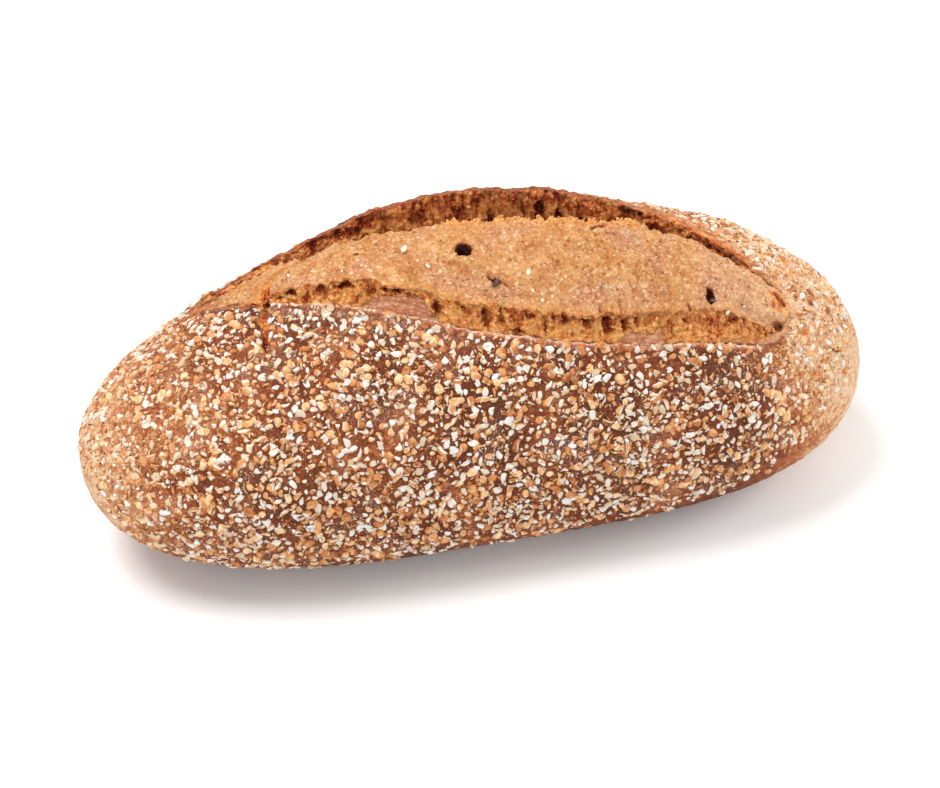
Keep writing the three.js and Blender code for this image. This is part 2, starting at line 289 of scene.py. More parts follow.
# x at which each of these begins and is full, and starts to fade and has ended: the groove
# behind the lip, the lip's pale edge, the ragged back edge of the tongue, and the ear's rim
# where it folded over. Last, where the dark top of the ear's inner face turns paler.
GROOVE_BEGINS, GROOVE_ENDS = (-78, -69), (86, 100)
LIP_BEGINS, LIP_ENDS = (-76, -69), (88, 102)
RAGGED_BEGINS, RAGGED_ENDS = (-14, -4), (56, 66)
FOLD_BEGINS, FOLD_ENDS = (48, 60), (92, 100)
EAR_PALES = (28, 44)

# Where the crust tore off at the tongue's right end: x, y, reach along x and along y.
TORN_CORNER = (103, -29, 4.5, 5)

# Mesh rows in each stretch across the cut, from before the lip to behind the ear.
CUT_ROWS = (8, 3, 34, 52, 9, 38, 15)
FRONT_ROWS = 44
BACK_ROWS = 28
COLUMNS = 418
LEAST_ROW_BAND = 26


def along(points):
    """A smooth line through (x, value) points, flat at both ends."""
    at = np.array([p[0] for p in points], float)
    value = np.array([p[1] for p in points], float)
    slope = np.empty(len(at))
    slope[1:-1] = (value[2:] - value[:-2]) / (at[2:] - at[:-2])
    slope[0] = (value[1] - value[0]) / (at[1] - at[0])
    slope[-1] = (value[-1] - value[-2]) / (at[-1] - at[-2])

    def line(x):
        x = np.clip(x, at[0], at[-1])
        i = np.clip(np.searchsorted(at, x, side="right") - 1, 0, len(at) - 2)
        span = at[i + 1] - at[i]
        t = (x - at[i]) / span
        return ((2 * t**3 - 3 * t**2 + 1) * value[i] + (t**3 - 2 * t**2 + t) * span * slope[i]
                + (3 * t**2 - 2 * t**3) * value[i + 1] + (t**3 - t**2) * span * slope[i + 1])
    return line


def smooth(low, high, v):
    """0 on the low side and 1 on the high side, with a soft step between them."""
    t = np.clip((v - low) / (high - low), 0, 1)
    return t * t * (3 - 2 * t)


def mix(a, b, t):
    return a + (b - a) * t


def section(x):
    """Half-width, middle, waist height, rise above it and drop below it of the loaf at x."""
    u = np.clip(2 * x / LENGTH, -1, 1)
    plan = np.sqrt(1 - np.abs(u) ** PLAN_ROUNDNESS)
    ridge = np.sqrt(1 - np.abs(u) ** CROWN_ROUNDNESS)
    waist = mix(TIP_HEIGHT, WAIST, ridge)
    half = WIDTH / 2 * plan * (1 + RIGHT_WIDER * u)
    middle = -BOW * u * u + SKEW * u * (1 - u * u)
    rise = (CROWN * (1 + RIGHT_TALLER * u) - waist) * ridge
    drop = (waist + SQUEEZE) * np.minimum(1, plan ** UNDERCUT)
    return half, middle, waist, rise, drop


lip_y = along(LIP_LINE)
rim_y = along(RIM_LINE)
tongue_back_y = along(TONGUE_BACK_LINE)
ledge_share = along(LEDGE_SHARE)


def waves(x, phase):
    """A gentle waver of the cut's edges along the loaf."""
    return (0.5 * np.sin(0.31 * x + phase) + 0.3 * np.sin(0.73 * x + 2.1 * phase)
            + 0.2 * np.sin(1.37 * x + 3.7 * phase))


def cut_open(x):
    """1 where the slash is open, falling to 0 at its two ends."""
    return smooth(CUT_LEFT, CUT_LEFT + 12, x) * (1 - smooth(CUT_RIGHT - 8, CUT_RIGHT, x))


def stations(x):
    """The eight lines across the cut at x, front to back: their y, and height over the loaf."""
    lip = lip_y(x)
    gap = np.maximum(0.6, rim_y(x) - lip)
    rim = lip + gap
    narrow = np.clip(gap / 40, 0.03, 1)
    wall_top = lip + along(WALL_SETBACK)(x) * narrow
    back = np.clip(tongue_back_y(x), wall_top + 0.25 * gap, rim - 0.12 * gap)
    ragged = RAGGED * cut_open(x)
    y = [lip - LIP_RUN, lip, lip + LIP_THICKNESS * narrow, wall_top, back,
         mix(back, rim, CREVICE_SHARE), rim, rim + EAR_RUN]
    height = [
        0 * x,
        along(LIP_RISE)(x) + 0.3 * ragged * waves(x, 1),
        -GROOVE_DEPTH * cut_open(x) * smooth(*GROOVE_BEGINS, x) * (1 - smooth(*GROOVE_ENDS, x)),
        along(WALL_RISE)(x) + ragged * waves(x, 2),
        along(BACK_RISE)(x) + ragged * waves(x, 3),
        -along(CREVICE_DEPTH)(x),
        along(RIM_RISE)(x) + ragged * waves(x, 4),
        0 * x,
    ]
    return y, height


def across_cut(x, y):
    """Where y lies across the cut: 0 before the lip, 1 lip, 2 groove, 3 tongue's front edge,
    4 its back edge, 5 crevice, 6 ear's rim, 7 the ear's end. Also the height over the loaf."""
    line, height = stations(x)
    place = np.where(y >= line[7], 7.0, 0.0)
    relief = np.zeros_like(place)
    for i in range(7):
        here = (y >= line[i]) & (y < line[i + 1])
        t = (y - line[i]) / (line[i + 1] - line[i])
        here_relief = mix(height[i], height[i + 1], t)
        if i == 0:
            here_relief = height[1] * t * t
        if i == 3:
            swell = along(TONGUE_SWELL)(x) * 2 * np.sqrt(np.clip(t * (1 - t), 0, 1))
            here_relief = here_relief + swell
        if i == 6:
            here_relief = height[6] * (1 - t) ** 2 * (1 + t)
        place = np.where(here, i + t, place)
        relief = np.where(here, here_relief, relief)
    inside = (x > CUT_LEFT) & (x < CUT_RIGHT)
    return np.where(inside, place, np.where(y >= line[6], 7.0, 0.0)), np.where(inside, relief, 0)


def column_places():
    """x of each ring: close together over the cut and towards the rounded tips."""
    x = np.linspace(-LENGTH / 2, LENGTH / 2, 4001)
    u = 2 * x / LENGTH
    over_cut = smooth(CUT_LEFT - 16, CUT_LEFT, x) * (1 - smooth(CUT_RIGHT, CUT_RIGHT + 12, x))
    density = 0.55 + over_cut + 0.28 / np.sqrt(1.0002 - u * u)
    share = np.concatenate([[0], np.cumsum((density[1:] + density[:-1]) / 2)])
    return np.interp(np.linspace(0, share[-1], COLUMNS + 1), share, x)[1:-1]


def row_angles(x):
    """Angle of each mesh row round the loaf at the places x, from under it over the front."""
    line, _ = stations(np.clip(x, CUT_LEFT + 2, CUT_RIGHT - 2))
    centre = (line[1] + line[6]) / 2
    spread = np.maximum(line[6] - line[1], LEAST_ROW_BAND) / (line[6] - line[1])
    rows = []
    for i, count in enumerate(CUT_ROWS):
        rows += [mix(line[i], line[i + 1], k / count) for k in range(count)]
    rows.append(line[7])
    y = np.stack(rows)
    near = np.clip(y, line[1], line[6])
    y = centre + (near - centre) * spread + (y - near)
    half, middle, *_ = section(x)
    share = np.clip((y - middle) / np.maximum(half, 1e-6), -0.965, 0.965)
    inside = (smooth(-LENGTH / 2 + 4, CUT_LEFT + 4, x)
              * (1 - smooth(CUT_RIGHT - 4, LENGTH / 2 - 4, x)))
    fanned = np.linspace(2.35, 0.7, len(rows))[:, None]
    cut = mix(fanned, np.arccos(share), inside)
    under = 3 * np.pi / 2
    front = [mix(under, cut[0], (k / FRONT_ROWS) ** 0.85) for k in range(FRONT_ROWS)]
    back = [mix(cut[-1], under - 2 * np.pi, (k / BACK_ROWS) ** 1.15)
            for k in range(1, BACK_ROWS)]
    return np.concatenate([front, cut, back])


def unevenness(x, angle):
    """The wide dents and bulges of a loaf that was shaped by hand."""
    return (0.7 * np.sin(0.045 * x + 2 * angle) + 0.4 * np.sin(0.11 * x - 3 * angle + 1)
            + 0.25 * np.sin(0.19 * x + 5 * angle + 2))


def noise_at(points, size, octaves=2, shift=0.0):
    """Soft noise at millimetre points; size is how far apart its bumps lie."""
    scaled = (points / size + shift).reshape(-1, 3).tolist()
    values = [noise.fractal(p, 1.0, 2.0, octaves) for p in scaled]
    return np.array(values).reshape(points.shape[:-1])


def cells_at(points, size, shift=0.0):
    """Rounded cells at millimetre points: 0 on the walls between them, 1 in their middles,
    and a number from 0 to 1 that is the same all over one cell."""
    scaled = (points / size + shift).reshape(-1, 3).tolist()
    depth = np.empty(len(scaled))
    own = np.empty(len(scaled))
    for i, p in enumerate(scaled):
        distances, centres = noise.voronoi(p)
        depth[i] = distances[1] - distances[0]
        own[i] = noise.cell(centres[0] * 3.7)
    return depth.reshape(points.shape[:-1]), own.reshape(points.shape[:-1]) * 0.5 + 0.5


def hollows(listed, x, height, ragged):
    """How deep the listed hollows go at each point, the deepest where they overlap."""
    deepest = np.zeros_like(x)
    for at_x, at_height, half_wide, half_tall, deep in listed:
        reach = np.hypot((x - at_x) / half_wide, (height - at_height) / half_tall)
        deepest = np.maximum(deepest, deep * (1 - smooth(0.5, 1.1, reach + 0.3 * ragged)))
    return deepest


def grid_normals(points):
    """Outward normals of the closed grid of rows round the loaf by columns along it."""
    around = np.roll(points, -1, axis=0) - np.roll(points, 1, axis=0)
    lengthwise = np.gradient(points, axis=1)
    normal = np.cross(lengthwise, around)
    return normal / np.maximum(np.linalg.norm(normal, axis=-1, keepdims=True), 1e-9)


column_x = column_places()
angle = row_angles(column_x)
x = np.broadcast_to(column_x, angle.shape)
half, middle, waist, rise, drop = section(x)
up = np.sin(angle)
closed_y = middle + half * np.cos(angle)
closed_z = np.where(
    up >= 0,
    waist + rise * np.clip(up, 0, 1) ** SHOULDER,
    np.maximum(0, waist - drop * np.clip(-up, 0, 1) ** BELLY),
)
swell = np.minimum(1, 4 * half / WIDTH) * smooth(0, 0.35, up) * unevenness(x, angle)
y = closed_y + swell * np.cos(angle) * (up > 0)
z = closed_z + swell * up * (up > 0)
place, relief = across_cut(x, y)
place = np.where(up > 0, place, np.where(closed_y > 0, 7.0, 0.0))
z = z + relief * (up > 0)
opened = cut_open(x) * (up > 0)


def between(low, high, soft):
    """How far each point lies inside a stretch of the cut, from one line of it to another."""
    return smooth(low - soft, low + soft, place) * (1 - smooth(high - soft, high + soft, place))


gap = np.maximum(0.6, rim_y(x) - lip_y(x))
wall_height = np.clip(place - 2, 0, 1)
ear_height = np.clip(place - 5, 0, 1)
skin_limit = ledge_share(x)
coarse = np.stack([x, y, z], -1)
wander = noise_at(coarse, 4.0, 3, 5.0)
ragged = noise_at(coarse, 1.9, 2, 21.0)

on_wall = opened * between(2.0, 3.0, 0.02) * smooth(-0.1, 0.12, wall_height - skin_limit
                                                    + 0.2 * wander)
on_ear = opened * between(4.9, 6.0, 0.03)
on_tongue = opened * between(3.0, 4.0, 0.03)
in_crevice = opened * between(4.02, 5.0, 0.1)
# Torn crumb shows less and less towards the two corners of the cut.
torn_open = smooth(CUT_LEFT + 12, CUT_LEFT + 28, x) * (1 - smooth(CUT_RIGHT - 16, CUT_RIGHT, x))

# The tear in the front crust, steep on its right side.
run = (y - TEAR_FOOT) / (TEAR_TOP - TEAR_FOOT)
tear_middle = TEAR_X + TEAR_LEAN * (y - TEAR_TOP) + 0.5 * np.sin(0.9 * y) + 0.6 * ragged
off = (x - tear_middle) / (TEAR_HALF_WIDTH * (0.22 + 0.78 * np.clip(run, 0, 1) ** 1.3))
in_tear = np.where(off < 0.35, smooth(-1.1, 0.35, off), 1 - smooth(0.35, 0.75, off))
tear_run = np.clip(4 * run, 0, 1) * (1 - smooth(0.97, 1.12, run)) * (up > 0)
in_tear = in_tear * tear_run
z = z - TEAR_DEPTH * in_tear * (0.55 + 0.45 * (1 - np.clip(run, 0, 1)))
z = z + TEAR_SHOULDER * tear_run * smooth(0.45, 0.9, off) * (1 - smooth(1.5, 4.5, off))

# The tongue's front edge hangs over the wall in drips, and the ear's rim leans over the
# crevice.
edge = np.exp(-((place - 3.0) / 0.1) ** 2) * opened * (1 - skin_limit)
drip = noise_at(coarse * (1, 0.2, 0.2), 2.1, 2, 9.0)
y = y - edge * (0.3 + 1.5 * drip)
z = z - 0.8 * edge * np.clip(drip + 0.1, 0, 1)
lean = smooth(5.5, 6.0, place) * (1 - smooth(6.0, 6.3, place)) * opened
rim_height = along(RIM_RISE)(x)
y = y - 0.3 * rim_height * lean
points = np.stack([x, y, z], -1)

# Pockets in the torn wall, with thin ridges of crumb between them.
wall_place = np.stack([x, 0 * x, 8.0 * wall_height], -1)
wall_cell, wall_own = cells_at(wall_place * (1, 1, 0.5), 2.9, 2.0)
wall_ridge = 1 - 2.4 * np.abs(noise_at(wall_place * (1, 1, 0.22), 1.7, 2, 1.0))
small_pockets = smooth(0.05, 0.45, wall_cell) * 2.6 * wall_own**2
small_pockets = small_pockets * (0.35 + 0.65 * smooth(0.35, 0.8, wall_height))
pocket = np.maximum(small_pockets, hollows(WALL_POCKETS, x, wall_height, ragged))
pocket = pocket + 0.5 * noise_at(points, 1.5, 2, 3.0) - 0.5 * np.clip(wall_ridge, 0, 1)
above_skin = smooth(0.02, 0.2, wall_height - skin_limit)
pocket = on_wall * torn_open * above_skin * pocket * (1 - smooth(0.92, 1, wall_height))

# Hollows and upright folds in the ear's inner face, under its crust.
ear_place = np.stack([x, 0 * x, 16.0 * ear_height], -1)
ear_cell, ear_own = cells_at(ear_place * (1, 1, 0.6), 4.4, 7.0)
ear_ridge = 1 - 2.2 * np.abs(noise_at(ear_place * (1, 1, 0.35), 3.2, 3, 4.0))
crust_edge = along(CRUST_EDGE)(x)
crust_band = smooth(crust_edge - 0.06, crust_edge + 0.06, ear_height + 0.15 * wander)
cavity = np.maximum(smooth(0.05, 0.5, ear_cell) * 2.6 * ear_own**2,
                    hollows(EAR_HOLLOWS, x, ear_height, ragged))
cavity = cavity - 0.9 * np.clip(ear_ridge, 0, 1) + 0.5 * noise_at(points, 1.7, 2, 6.0)
cavity = on_ear * torn_open * cavity * (1 - crust_band) * np.clip(gap / 40, 0.15, 1)
points = points + np.array(INWARD) * (pocket + cavity)[..., None]

# Bubbles that burst through the skin, and its folds.
in_bubble = np.zeros_like(x)
bubble_rim = np.zeros_like(x)
for bubble_x, bubble_y, bubble_long, bubble_wide, bubble_lean, bubble_deep in BUBBLES:
    off_x = x - bubble_x
    off_y = y - bubble_y - bubble_lean * off_x
    reach = np.hypot(off_x / bubble_long, off_y / bubble_wide) + 0.05 * ragged
    reach = np.where(up > 0, np.maximum(reach, 0.01), 9)
    # The points inside are drawn out to the bubble's wall, which is steep.
    pull = np.where(reach < 1, reach ** -0.45, 1) - 1
    points[..., 0] += off_x * pull
    points[..., 1] += (y - bubble_y) * pull
    points[..., 2] -= bubble_deep * (1 - smooth(0.2, 0.95, reach))
    # The inside of each bubble is painted dark, as painted shade in the hole.
    dark = 1 - smooth(0.82, 1.0, reach)
    in_bubble = np.maximum(in_bubble, dark * min(1, bubble_deep / 3))
    bubble_rim = np.maximum(bubble_rim, np.exp(-((reach - 1.2) / 0.2) ** 2))
points[..., 2] += 0.35 * bubble_rim
in_fold = np.zeros_like(x)
for start_x, start_y, end_x, end_y, fold_half, fold_deep in FOLDS:
    fold = np.array([end_x - start_x, end_y - start_y])
    share = ((x - start_x) * fold[0] + (y - start_y) * fold[1]) / (fold @ fold)
    near = np.clip(share, 0, 1)
    away = np.hypot(x - start_x - near * fold[0], y - start_y - near * fold[1])
    depth = np.exp(-((away + 0.6 * ragged) / fold_half) ** 2) * (up > 0) * on_tongue
    points[..., 2] -= fold_deep * depth
    # How deep the skin folds in, which its colour darkens as painted shade in the fold.
    in_fold = np.maximum(in_fold, depth * min(1, fold_deep / 1.2))

# Blisters of the skin, and the rough crumbs along the tongue's back edge.
normal = grid_normals(points)
steer = np.radians(along(STRETCH)(column_x))
step = np.gradient(column_x)
flow_along = np.cumsum(step / np.cos(steer)) + 0 * x
flow_across = y - np.cumsum(step * np.tan(steer))
flow = np.stack([flow_along * 0.75, flow_across, z], -1)
rough_back = opened * np.exp(-((place - 4.02) / 0.13) ** 2)
ragged_stretch = smooth(*RAGGED_BEGINS, x) * (1 - smooth(*RAGGED_ENDS, x))
rough_back = rough_back * (0.3 + 0.7 * ragged_stretch)
crust_skin = (1 - on_tongue) * (1 - on_wall) * (1 - on_ear)
lip_edge = opened * np.exp(-((y - lip_y(x) - 0.3) / 1.1) ** 2) * (up > 0)
groove = opened * np.exp(-((place - 2.0) / 0.3) ** 2)
on_ledge = opened * between(1.15, 3.0, 0.08) * (1 - on_wall) * smooth(0.15, 0.35, skin_limit)
on_ledge = on_ledge * (1 - smooth(-0.08, 0.08, wall_height - skin_limit + 0.2 * wander))
level_strokes = np.stack([0.4 * x, y - lip_y(x), z], -1)
fine = (
    on_tongue * (1.0 * noise_at(flow, 6.5, 2, 2.0) + 0.6 * noise_at(points, 1.7, 3, 8.0)
                 + 0.6 * noise_at(flow, 3.6, 2, 24.0))
    + on_ledge * 0.45 * noise_at(level_strokes, 1.3, 2, 27.0)
    + rough_back * (0.2 + 3.3 * np.abs(noise_at(points, 1.7, 3, 5.0)))
    + crust_skin * 0.35 * noise_at(points, 3.2, 3, 11.0)
    + lip_edge * (0.4 + 0.8 * noise_at(points * (0.5, 1, 1), 1.5, 2, 16.0)) + 0.6 * groove
    + (on_wall + on_ear * (1 - crust_band)) * 0.95 * noise_at(points, 1.35, 3, 12.0)
    + opened * between(5.85, 6.5, 0.1) * 0.6 * noise_at(points * (0.6, 1, 1), 2.2, 3, 14.0)
    + in_tear * 1.2 * noise_at(points, 1.6, 3, 18.0)
)
floor_fade = smooth(0, 10, closed_z)
points = points + normal * (fine * floor_fade)[..., None]
points[..., 2] = np.maximum(points[..., 2], 0)

rows, columns = x.shape
ring = np.arange(rows * columns).reshape(rows, columns)
next_ring = np.roll(ring, -1, axis=0)
quads = np.stack([ring[:, :-1], ring[:, 1:], next_ring[:, 1:], next_ring[:, :-1]], -1)
left_tip, right_tip = rows * columns, rows * columns + 1
left_fan = np.stack([ring[:, 0], next_ring[:, 0], np.full(rows, left_tip)], -1)
right_fan = np.stack([next_ring[:, -1], ring[:, -1], np.full(rows, right_tip)], -1)
tips = np.array([[-LENGTH / 2, -BOW, TIP_HEIGHT], [LENGTH / 2, -BOW, TIP_HEIGHT]])
vertices = np.concatenate([points.reshape(-1, 3), tips]) / 1000
loaf_mesh = bpy.data.meshes.new("loaf_bread")
loaf_mesh.from_pydata(
    vertices.tolist(), [],
    quads.reshape(-1, 4).tolist() + left_fan.tolist() + right_fan.tolist(),
)
loaf_mesh.shade_smooth()


def paint(name, values, tip=0.0):
    """Stores one number at each point of the loaf, which its material and toppings read."""
    layer = loaf_mesh.attributes.new(name, "FLOAT", "POINT")
    stored = np.concatenate([np.asarray(values, np.float32).ravel(), [tip, tip]])
    layer.data.foreach_set("value", stored.astype(np.float32))


ends = smooth(0.57, 0.98, np.abs(2 * x / LENGTH + 0.02) - 0.07 * (x < 0))
low = 1 - smooth(8, 30, closed_z)
from_lip = lip_y(x) - y
from_rim = y - (lip_y(x) + gap)
beside_cut = (x > CUT_LEFT) & (x < CUT_RIGHT) & (up > 0)
clear_of_cut = np.where(
    beside_cut,
    np.maximum(smooth(-0.2, 0.8, from_lip + 0.8 * ragged),
               smooth(0, 1.5, from_rim - along(BARE_RIM)(x) + 0.8 * ragged)),
    1,
)
above_foot = smooth(-3, 4, closed_z - along(BARE_FOOT)(x) + 6 * wander)
bare = np.minimum(clear_of_cut, above_foot) * (1 - smooth(0.1, 0.4, in_tear))
clusters = np.clip(1.05 + 0.6 * noise_at(points, 8, 2, 31.0), 0.45, 1)
dusted = smooth(-0.05, 0.4, noise_at(points, 17, 2, 61.0))
torn_crumb = on_wall + on_ear * (1 - crust_band) + in_crevice
corner_x, corner_y, corner_long, corner_wide = TORN_CORNER
torn_corner = np.exp(-((x - corner_x) / corner_long) ** 2
                     - ((y - corner_y) / corner_wide) ** 2) * (up > 0)
torn_corner = 0.85 * smooth(0.35, 0.7, torn_corner + 0.3 * ragged)
at_rim = opened * smooth(5.8, 5.9, place)
folded_rim = at_rim * smooth(*FOLD_BEGINS, x) * (1 - smooth(*FOLD_ENDS, x))
folded_rim *= 1 - smooth(0, 1.5, from_rim + ragged - 4 * smooth(60, 84, x))
# The wall's brow under the tongue's edge is painted orange crumb: its torn drips are orange, and
# the bright paint also offsets the shade under that edge, as painted light.
wall_brow = opened * (torn_open > 0.2) * np.exp(-((place - 2.96) / 0.1) ** 2)
crumb = np.clip(torn_crumb + smooth(0.15, 0.5, in_tear) + 0.8 * rough_back * ragged_stretch
                + torn_corner + folded_rim + 0.7 * wall_brow, 0, 1)
lumps = noise_at(points * (1, 1, 0.6), 3.4, 3, 51.0)
small_lumps = noise_at(points * (1, 1, 0.7), 1.5, 2, 57.0)
# How dark the torn crumb is painted. Most of it is painted shade: in the wall's pockets and
# under the tongue's edge at its top, low on the ear's face over the crevice and in its hollows,
# in the crevice, in the bubbles and towards the tear's foot. The lumps, the dark top of the
# ear's face, the torn corner and the folded rim add the crumb's own browner tone.
deep = np.clip(
    on_wall * (0.11 * pocket + 0.12 + 0.3 * smooth(0.45, 0.95, wall_height + 0.3 * lumps)
               + 0.4 * lumps + 0.3 * small_lumps)
    + on_ear * (0.28 + 0.12 * cavity + 0.5 * (1 - smooth(0.12, 0.45, ear_height))
                + (0.25 - 0.2 * smooth(*EAR_PALES, x)) * smooth(0.6, 0.95, ear_height)
                + 0.6 * lumps + 0.35 * small_lumps)
    + torn_corner * (0.2 + 0.5 * lumps) + folded_rim * (0.3 + 0.3 * lumps + 0.2 * small_lumps)
    + 0.75 * in_crevice * smooth(4.1, 4.5, place)
    + in_bubble + smooth(0.3, 0.9, in_tear) * (0.28 + 0.45 * (1 - smooth(0.3, 0.7, run))
                                               + 0.5 * lumps),
    0, 1)
fibre = np.clip(on_wall * smooth(0.35, 0.9, wall_ridge) * (1 - smooth(0.8, 1.8, pocket))
                + 0.5 * on_ear * smooth(0.4, 0.9, ear_ridge), 0, 1)
skin = np.clip(opened * between(2.1, 4.1, 0.06), 0, 1)
pink = np.clip(0.9 * noise_at(points, 13, 2, 41.0) + 0.2
               + 0.35 * np.exp(-((place - 3.06) / 0.12) ** 2), 0, 1) * on_tongue
floury = np.exp(-((from_lip - 2) / 2) ** 2) * (up > 0) * smooth(-76, -70, x) * smooth(4, -24, x)
rim_width = 0.8 * along(BARE_RIM)(x)
rim_crust = at_rim * (1 - smooth(0.6 * rim_width, rim_width, from_rim))
rim_crust *= 1 - 0.55 * smooth(52, 66, x)
behind_rim = smooth(-1, 3, from_rim) * (1 - smooth(12, 40, from_rim + 8 * wander))
pale_right = np.maximum(0.75 * smooth(84, 106, x) * smooth(-60, -42, y),
                        0.6 * behind_rim * smooth(25, 65, x))
pale_left = 0.3 * (1 - smooth(-86, -74, x)) * smooth(50, 66, z)
toast = np.clip((1 - ends) * (0.83 + 0.36 * noise_at(points, 22, 2, 3.0)), 0, 1)
toast = toast * (1 - np.maximum(pale_right, pale_left) * (up > 0))
paint("seeded", bare * clusters * (1 - 0.2 * ends * (x < 0)))
paint("seeded_large", bare * clusters * (1 - 0.3 * ends * (x < 0)))
paint("dusted", bare * (0.12 + 0.88 * dusted) * (1 - 0.4 * ends))
paint("ragged", np.clip(rough_back * ragged_stretch + 0.35 * on_wall * torn_open
                        + 0.3 * on_ear * torn_open * (1 - crust_band), 0, 1))
for layer_name, values in (
    ("crumb", crumb), ("deep", deep), ("fibre", fibre), ("skin", skin), ("blush", on_ledge),
    ("pink", pink), ("fold", in_fold), ("floury", floury), ("rim", rim_crust),
    ("toast", toast),
):
    paint(layer_name, values)
paint("pale", np.maximum(on_tongue, on_ledge) * smooth(62, 100, x))
paint("dusty", np.clip(noise_at(points, 11, 3, 71.0) * 2, 0, 1) * bare)
paint("lip", np.clip(opened * smooth(*LIP_BEGINS, x) * (1 - smooth(*LIP_ENDS, x))
                     * (up > 0) * (1 + 0.5 * ragged)
                     * np.exp(-((y - lip_y(x) - 0.2) / 0.85) ** 2), 0, 1))

# A grid for the dough's strokes: along the stretch on the tongue, level on the ledges in
# front of it, upright on the torn faces.
strokes = np.where(on_ledge[..., None] > 0.3, level_strokes, flow)
strokes = np.where(np.clip(torn_crumb, 0, 1)[..., None] > 0.5,
                   np.stack([0.3 * z, x, y], -1), strokes) / 1000
tip_strokes = [strokes[:, 0].mean(0), strokes[:, -1].mean(0)]
layer = loaf_mesh.attributes.new("strokes", "FLOAT_VECTOR", "POINT")
layer.data.foreach_set("vector", np.concatenate([strokes.reshape(-1, 3), tip_strokes]).ravel())

loaf = add_object("loaf_bread", loaf_mesh)


def attribute(tree, name):
    """A number stored at each point of the mesh."""
    return put(tree, "ShaderNodeAttribute", attribute_name=name).outputs["Fac"]


def blend(tree, share, first, second):
    """A colour from first to second by share. The colours are sockets or plain colours."""
    node = put(tree, "ShaderNodeMix", data_type="RGBA")
    for key, value in (("Factor", share), ("A", first), ("B", second)):
        socket = [s for s in node.inputs if s.name == key and s.enabled][0]
        if isinstance(value, bpy.types.NodeSocket):
            tree.links.new(value, socket)
        else:
            socket.default_value = value
    return [s for s in node.outputs if s.enabled][0]


def reckon(tree, operation, first, second):
    """The sum, product or other result of two numbers or sockets."""
    return put(tree, "ShaderNodeMath", {0: first, 1: second}, operation=operation).outputs[0]


def sum_of(tree, *parts):
    """Adds up (socket, factor) pairs."""
    total = None
    for socket, factor in parts:
        scaled = reckon(tree, "MULTIPLY", socket, factor)
        total = scaled if total is None else reckon(tree, "ADD", total, scaled)
    return total


def tint(tree, base, red, green, blue, *parts):
    """Turns a colour towards another by the sum of (socket, factor) pairs."""
    return blend(tree, sum_of(tree, *parts), base, colour(red, green, blue))


def add_relief(tree, shader, height, strength, distance):
    """Roughens a shader's surface by a height, over a distance in metres."""
    bump = put(tree, "ShaderNodeBump", {
        "Height": height, "Strength": strength, "Distance": distance,
    })
    tree.links.new(bump.outputs["Normal"], shader.inputs["Normal"])


def own_place(tree):
    """Each point's place in the object's own frame."""
    return put(tree, "ShaderNodeTexCoord").outputs["Object"]


def grainy_group():
    """Speckle of baked dough or broken grain: a fine noise, sharpened between two levels."""
    tree = bpy.data.node_groups.new("grainy", "ShaderNodeTree")
    tree.interface.new_socket("Where", in_out="INPUT", socket_type="NodeSocketVector")
    for name, value in (("Size", 0.001), ("Low", 0.35), ("High", 0.65)):
        tree.interface.new_socket(name, in_out="INPUT",
                                  socket_type="NodeSocketFloat").default_value = value
    tree.interface.new_socket("Mask", in_out="OUTPUT", socket_type="NodeSocketFloat")
    given = put(tree, "NodeGroupInput").outputs
    speckle = put(tree, "ShaderNodeTexNoise", {
        "Vector": given["Where"], "Scale": reckon(tree, "DIVIDE", 1.0, given["Size"]),
        "Detail": 3.0, "Roughness": 0.6,
    }).outputs["Fac"]
    mask = put(tree, "ShaderNodeMapRange", {
        "Value": speckle, "From Min": given["Low"], "From Max": given["High"],
    }).outputs[0]
    put(tree, "NodeGroupOutput", {"Mask": mask})
    return tree


grainy = grainy_group()


def grain_mask(tree, where, size, low=0.35, high=0.65):
    """The speckle at a place, with specks of a size in metres."""
    return put(tree, "ShaderNodeGroup", {
        "Where": where, "Size": size, "Low": low, "High": high,
    }, node_tree=grainy).outputs["Mask"]


def shades(tree, share, *stops):
    """A colour that runs through (position, red, green, blue) stops by share."""
    node = put(tree, "ShaderNodeValToRGB", {"Fac": share})
    ramp = node.color_ramp
    for element, (position, *shade) in zip(ramp.elements, (stops[0], stops[-1])):
        element.position = position
        element.color = colour(*shade)
    for position, *shade in stops[1:-1]:
        ramp.elements.new(position).color = colour(*shade)
    return node.outputs["Color"]


def level(tree, value, low, high):
    """A mask that rises from 0 to 1 as the value goes from low to high."""
    return put(tree, "ShaderNodeMapRange", {
        "Value": value, "From Min": low, "From Max": high,
    }).outputs[0]


def times(tree, first, second):
    return reckon(tree, "MULTIPLY", first, second)


def blisters(tree, where, size):
    """Masks of small blisters, side by side: all of them, the pale ones, the brown ones."""
    cells = put(tree, "ShaderNodeTexVoronoi", {"Vector": where, "Scale": 1 / size}).outputs
    own = put(tree, "ShaderNodeSeparateColor", {"Color": cells["Color"]}).outputs[0]
    dome = level(tree, cells["Distance"], 0.62, 0.15)
    pale = times(tree, level(tree, own, 0.5, 1.0), dome)
    brown = times(tree, level(tree, own, 0.5, 0.0), dome)
    return dome, pale, brown


bread, tree, shader = empty_material("baked bread")
here = own_place(tree)
strokes_at = put(tree, "ShaderNodeAttribute", attribute_name="strokes").outputs["Vector"]
blister, pale_blister, brown_blister = blisters(tree, here, 0.0016)
fine_blister, pale_dot, brown_dot = blisters(tree, here, 0.0008)
patches = grain_mask(tree, here, 0.009, 0.34, 0.66)
mottle = grain_mask(tree, here, 0.0024, 0.36, 0.64)
speck = grain_mask(tree, here, 0.0009, 0.4, 0.6)
dots = grain_mask(tree, here, 0.00055, 0.42, 0.6)
stroke = grain_mask(tree, strokes_at, 0.0011, 0.4, 0.62)
fine_stroke = grain_mask(tree, strokes_at, 0.0006, 0.44, 0.6)

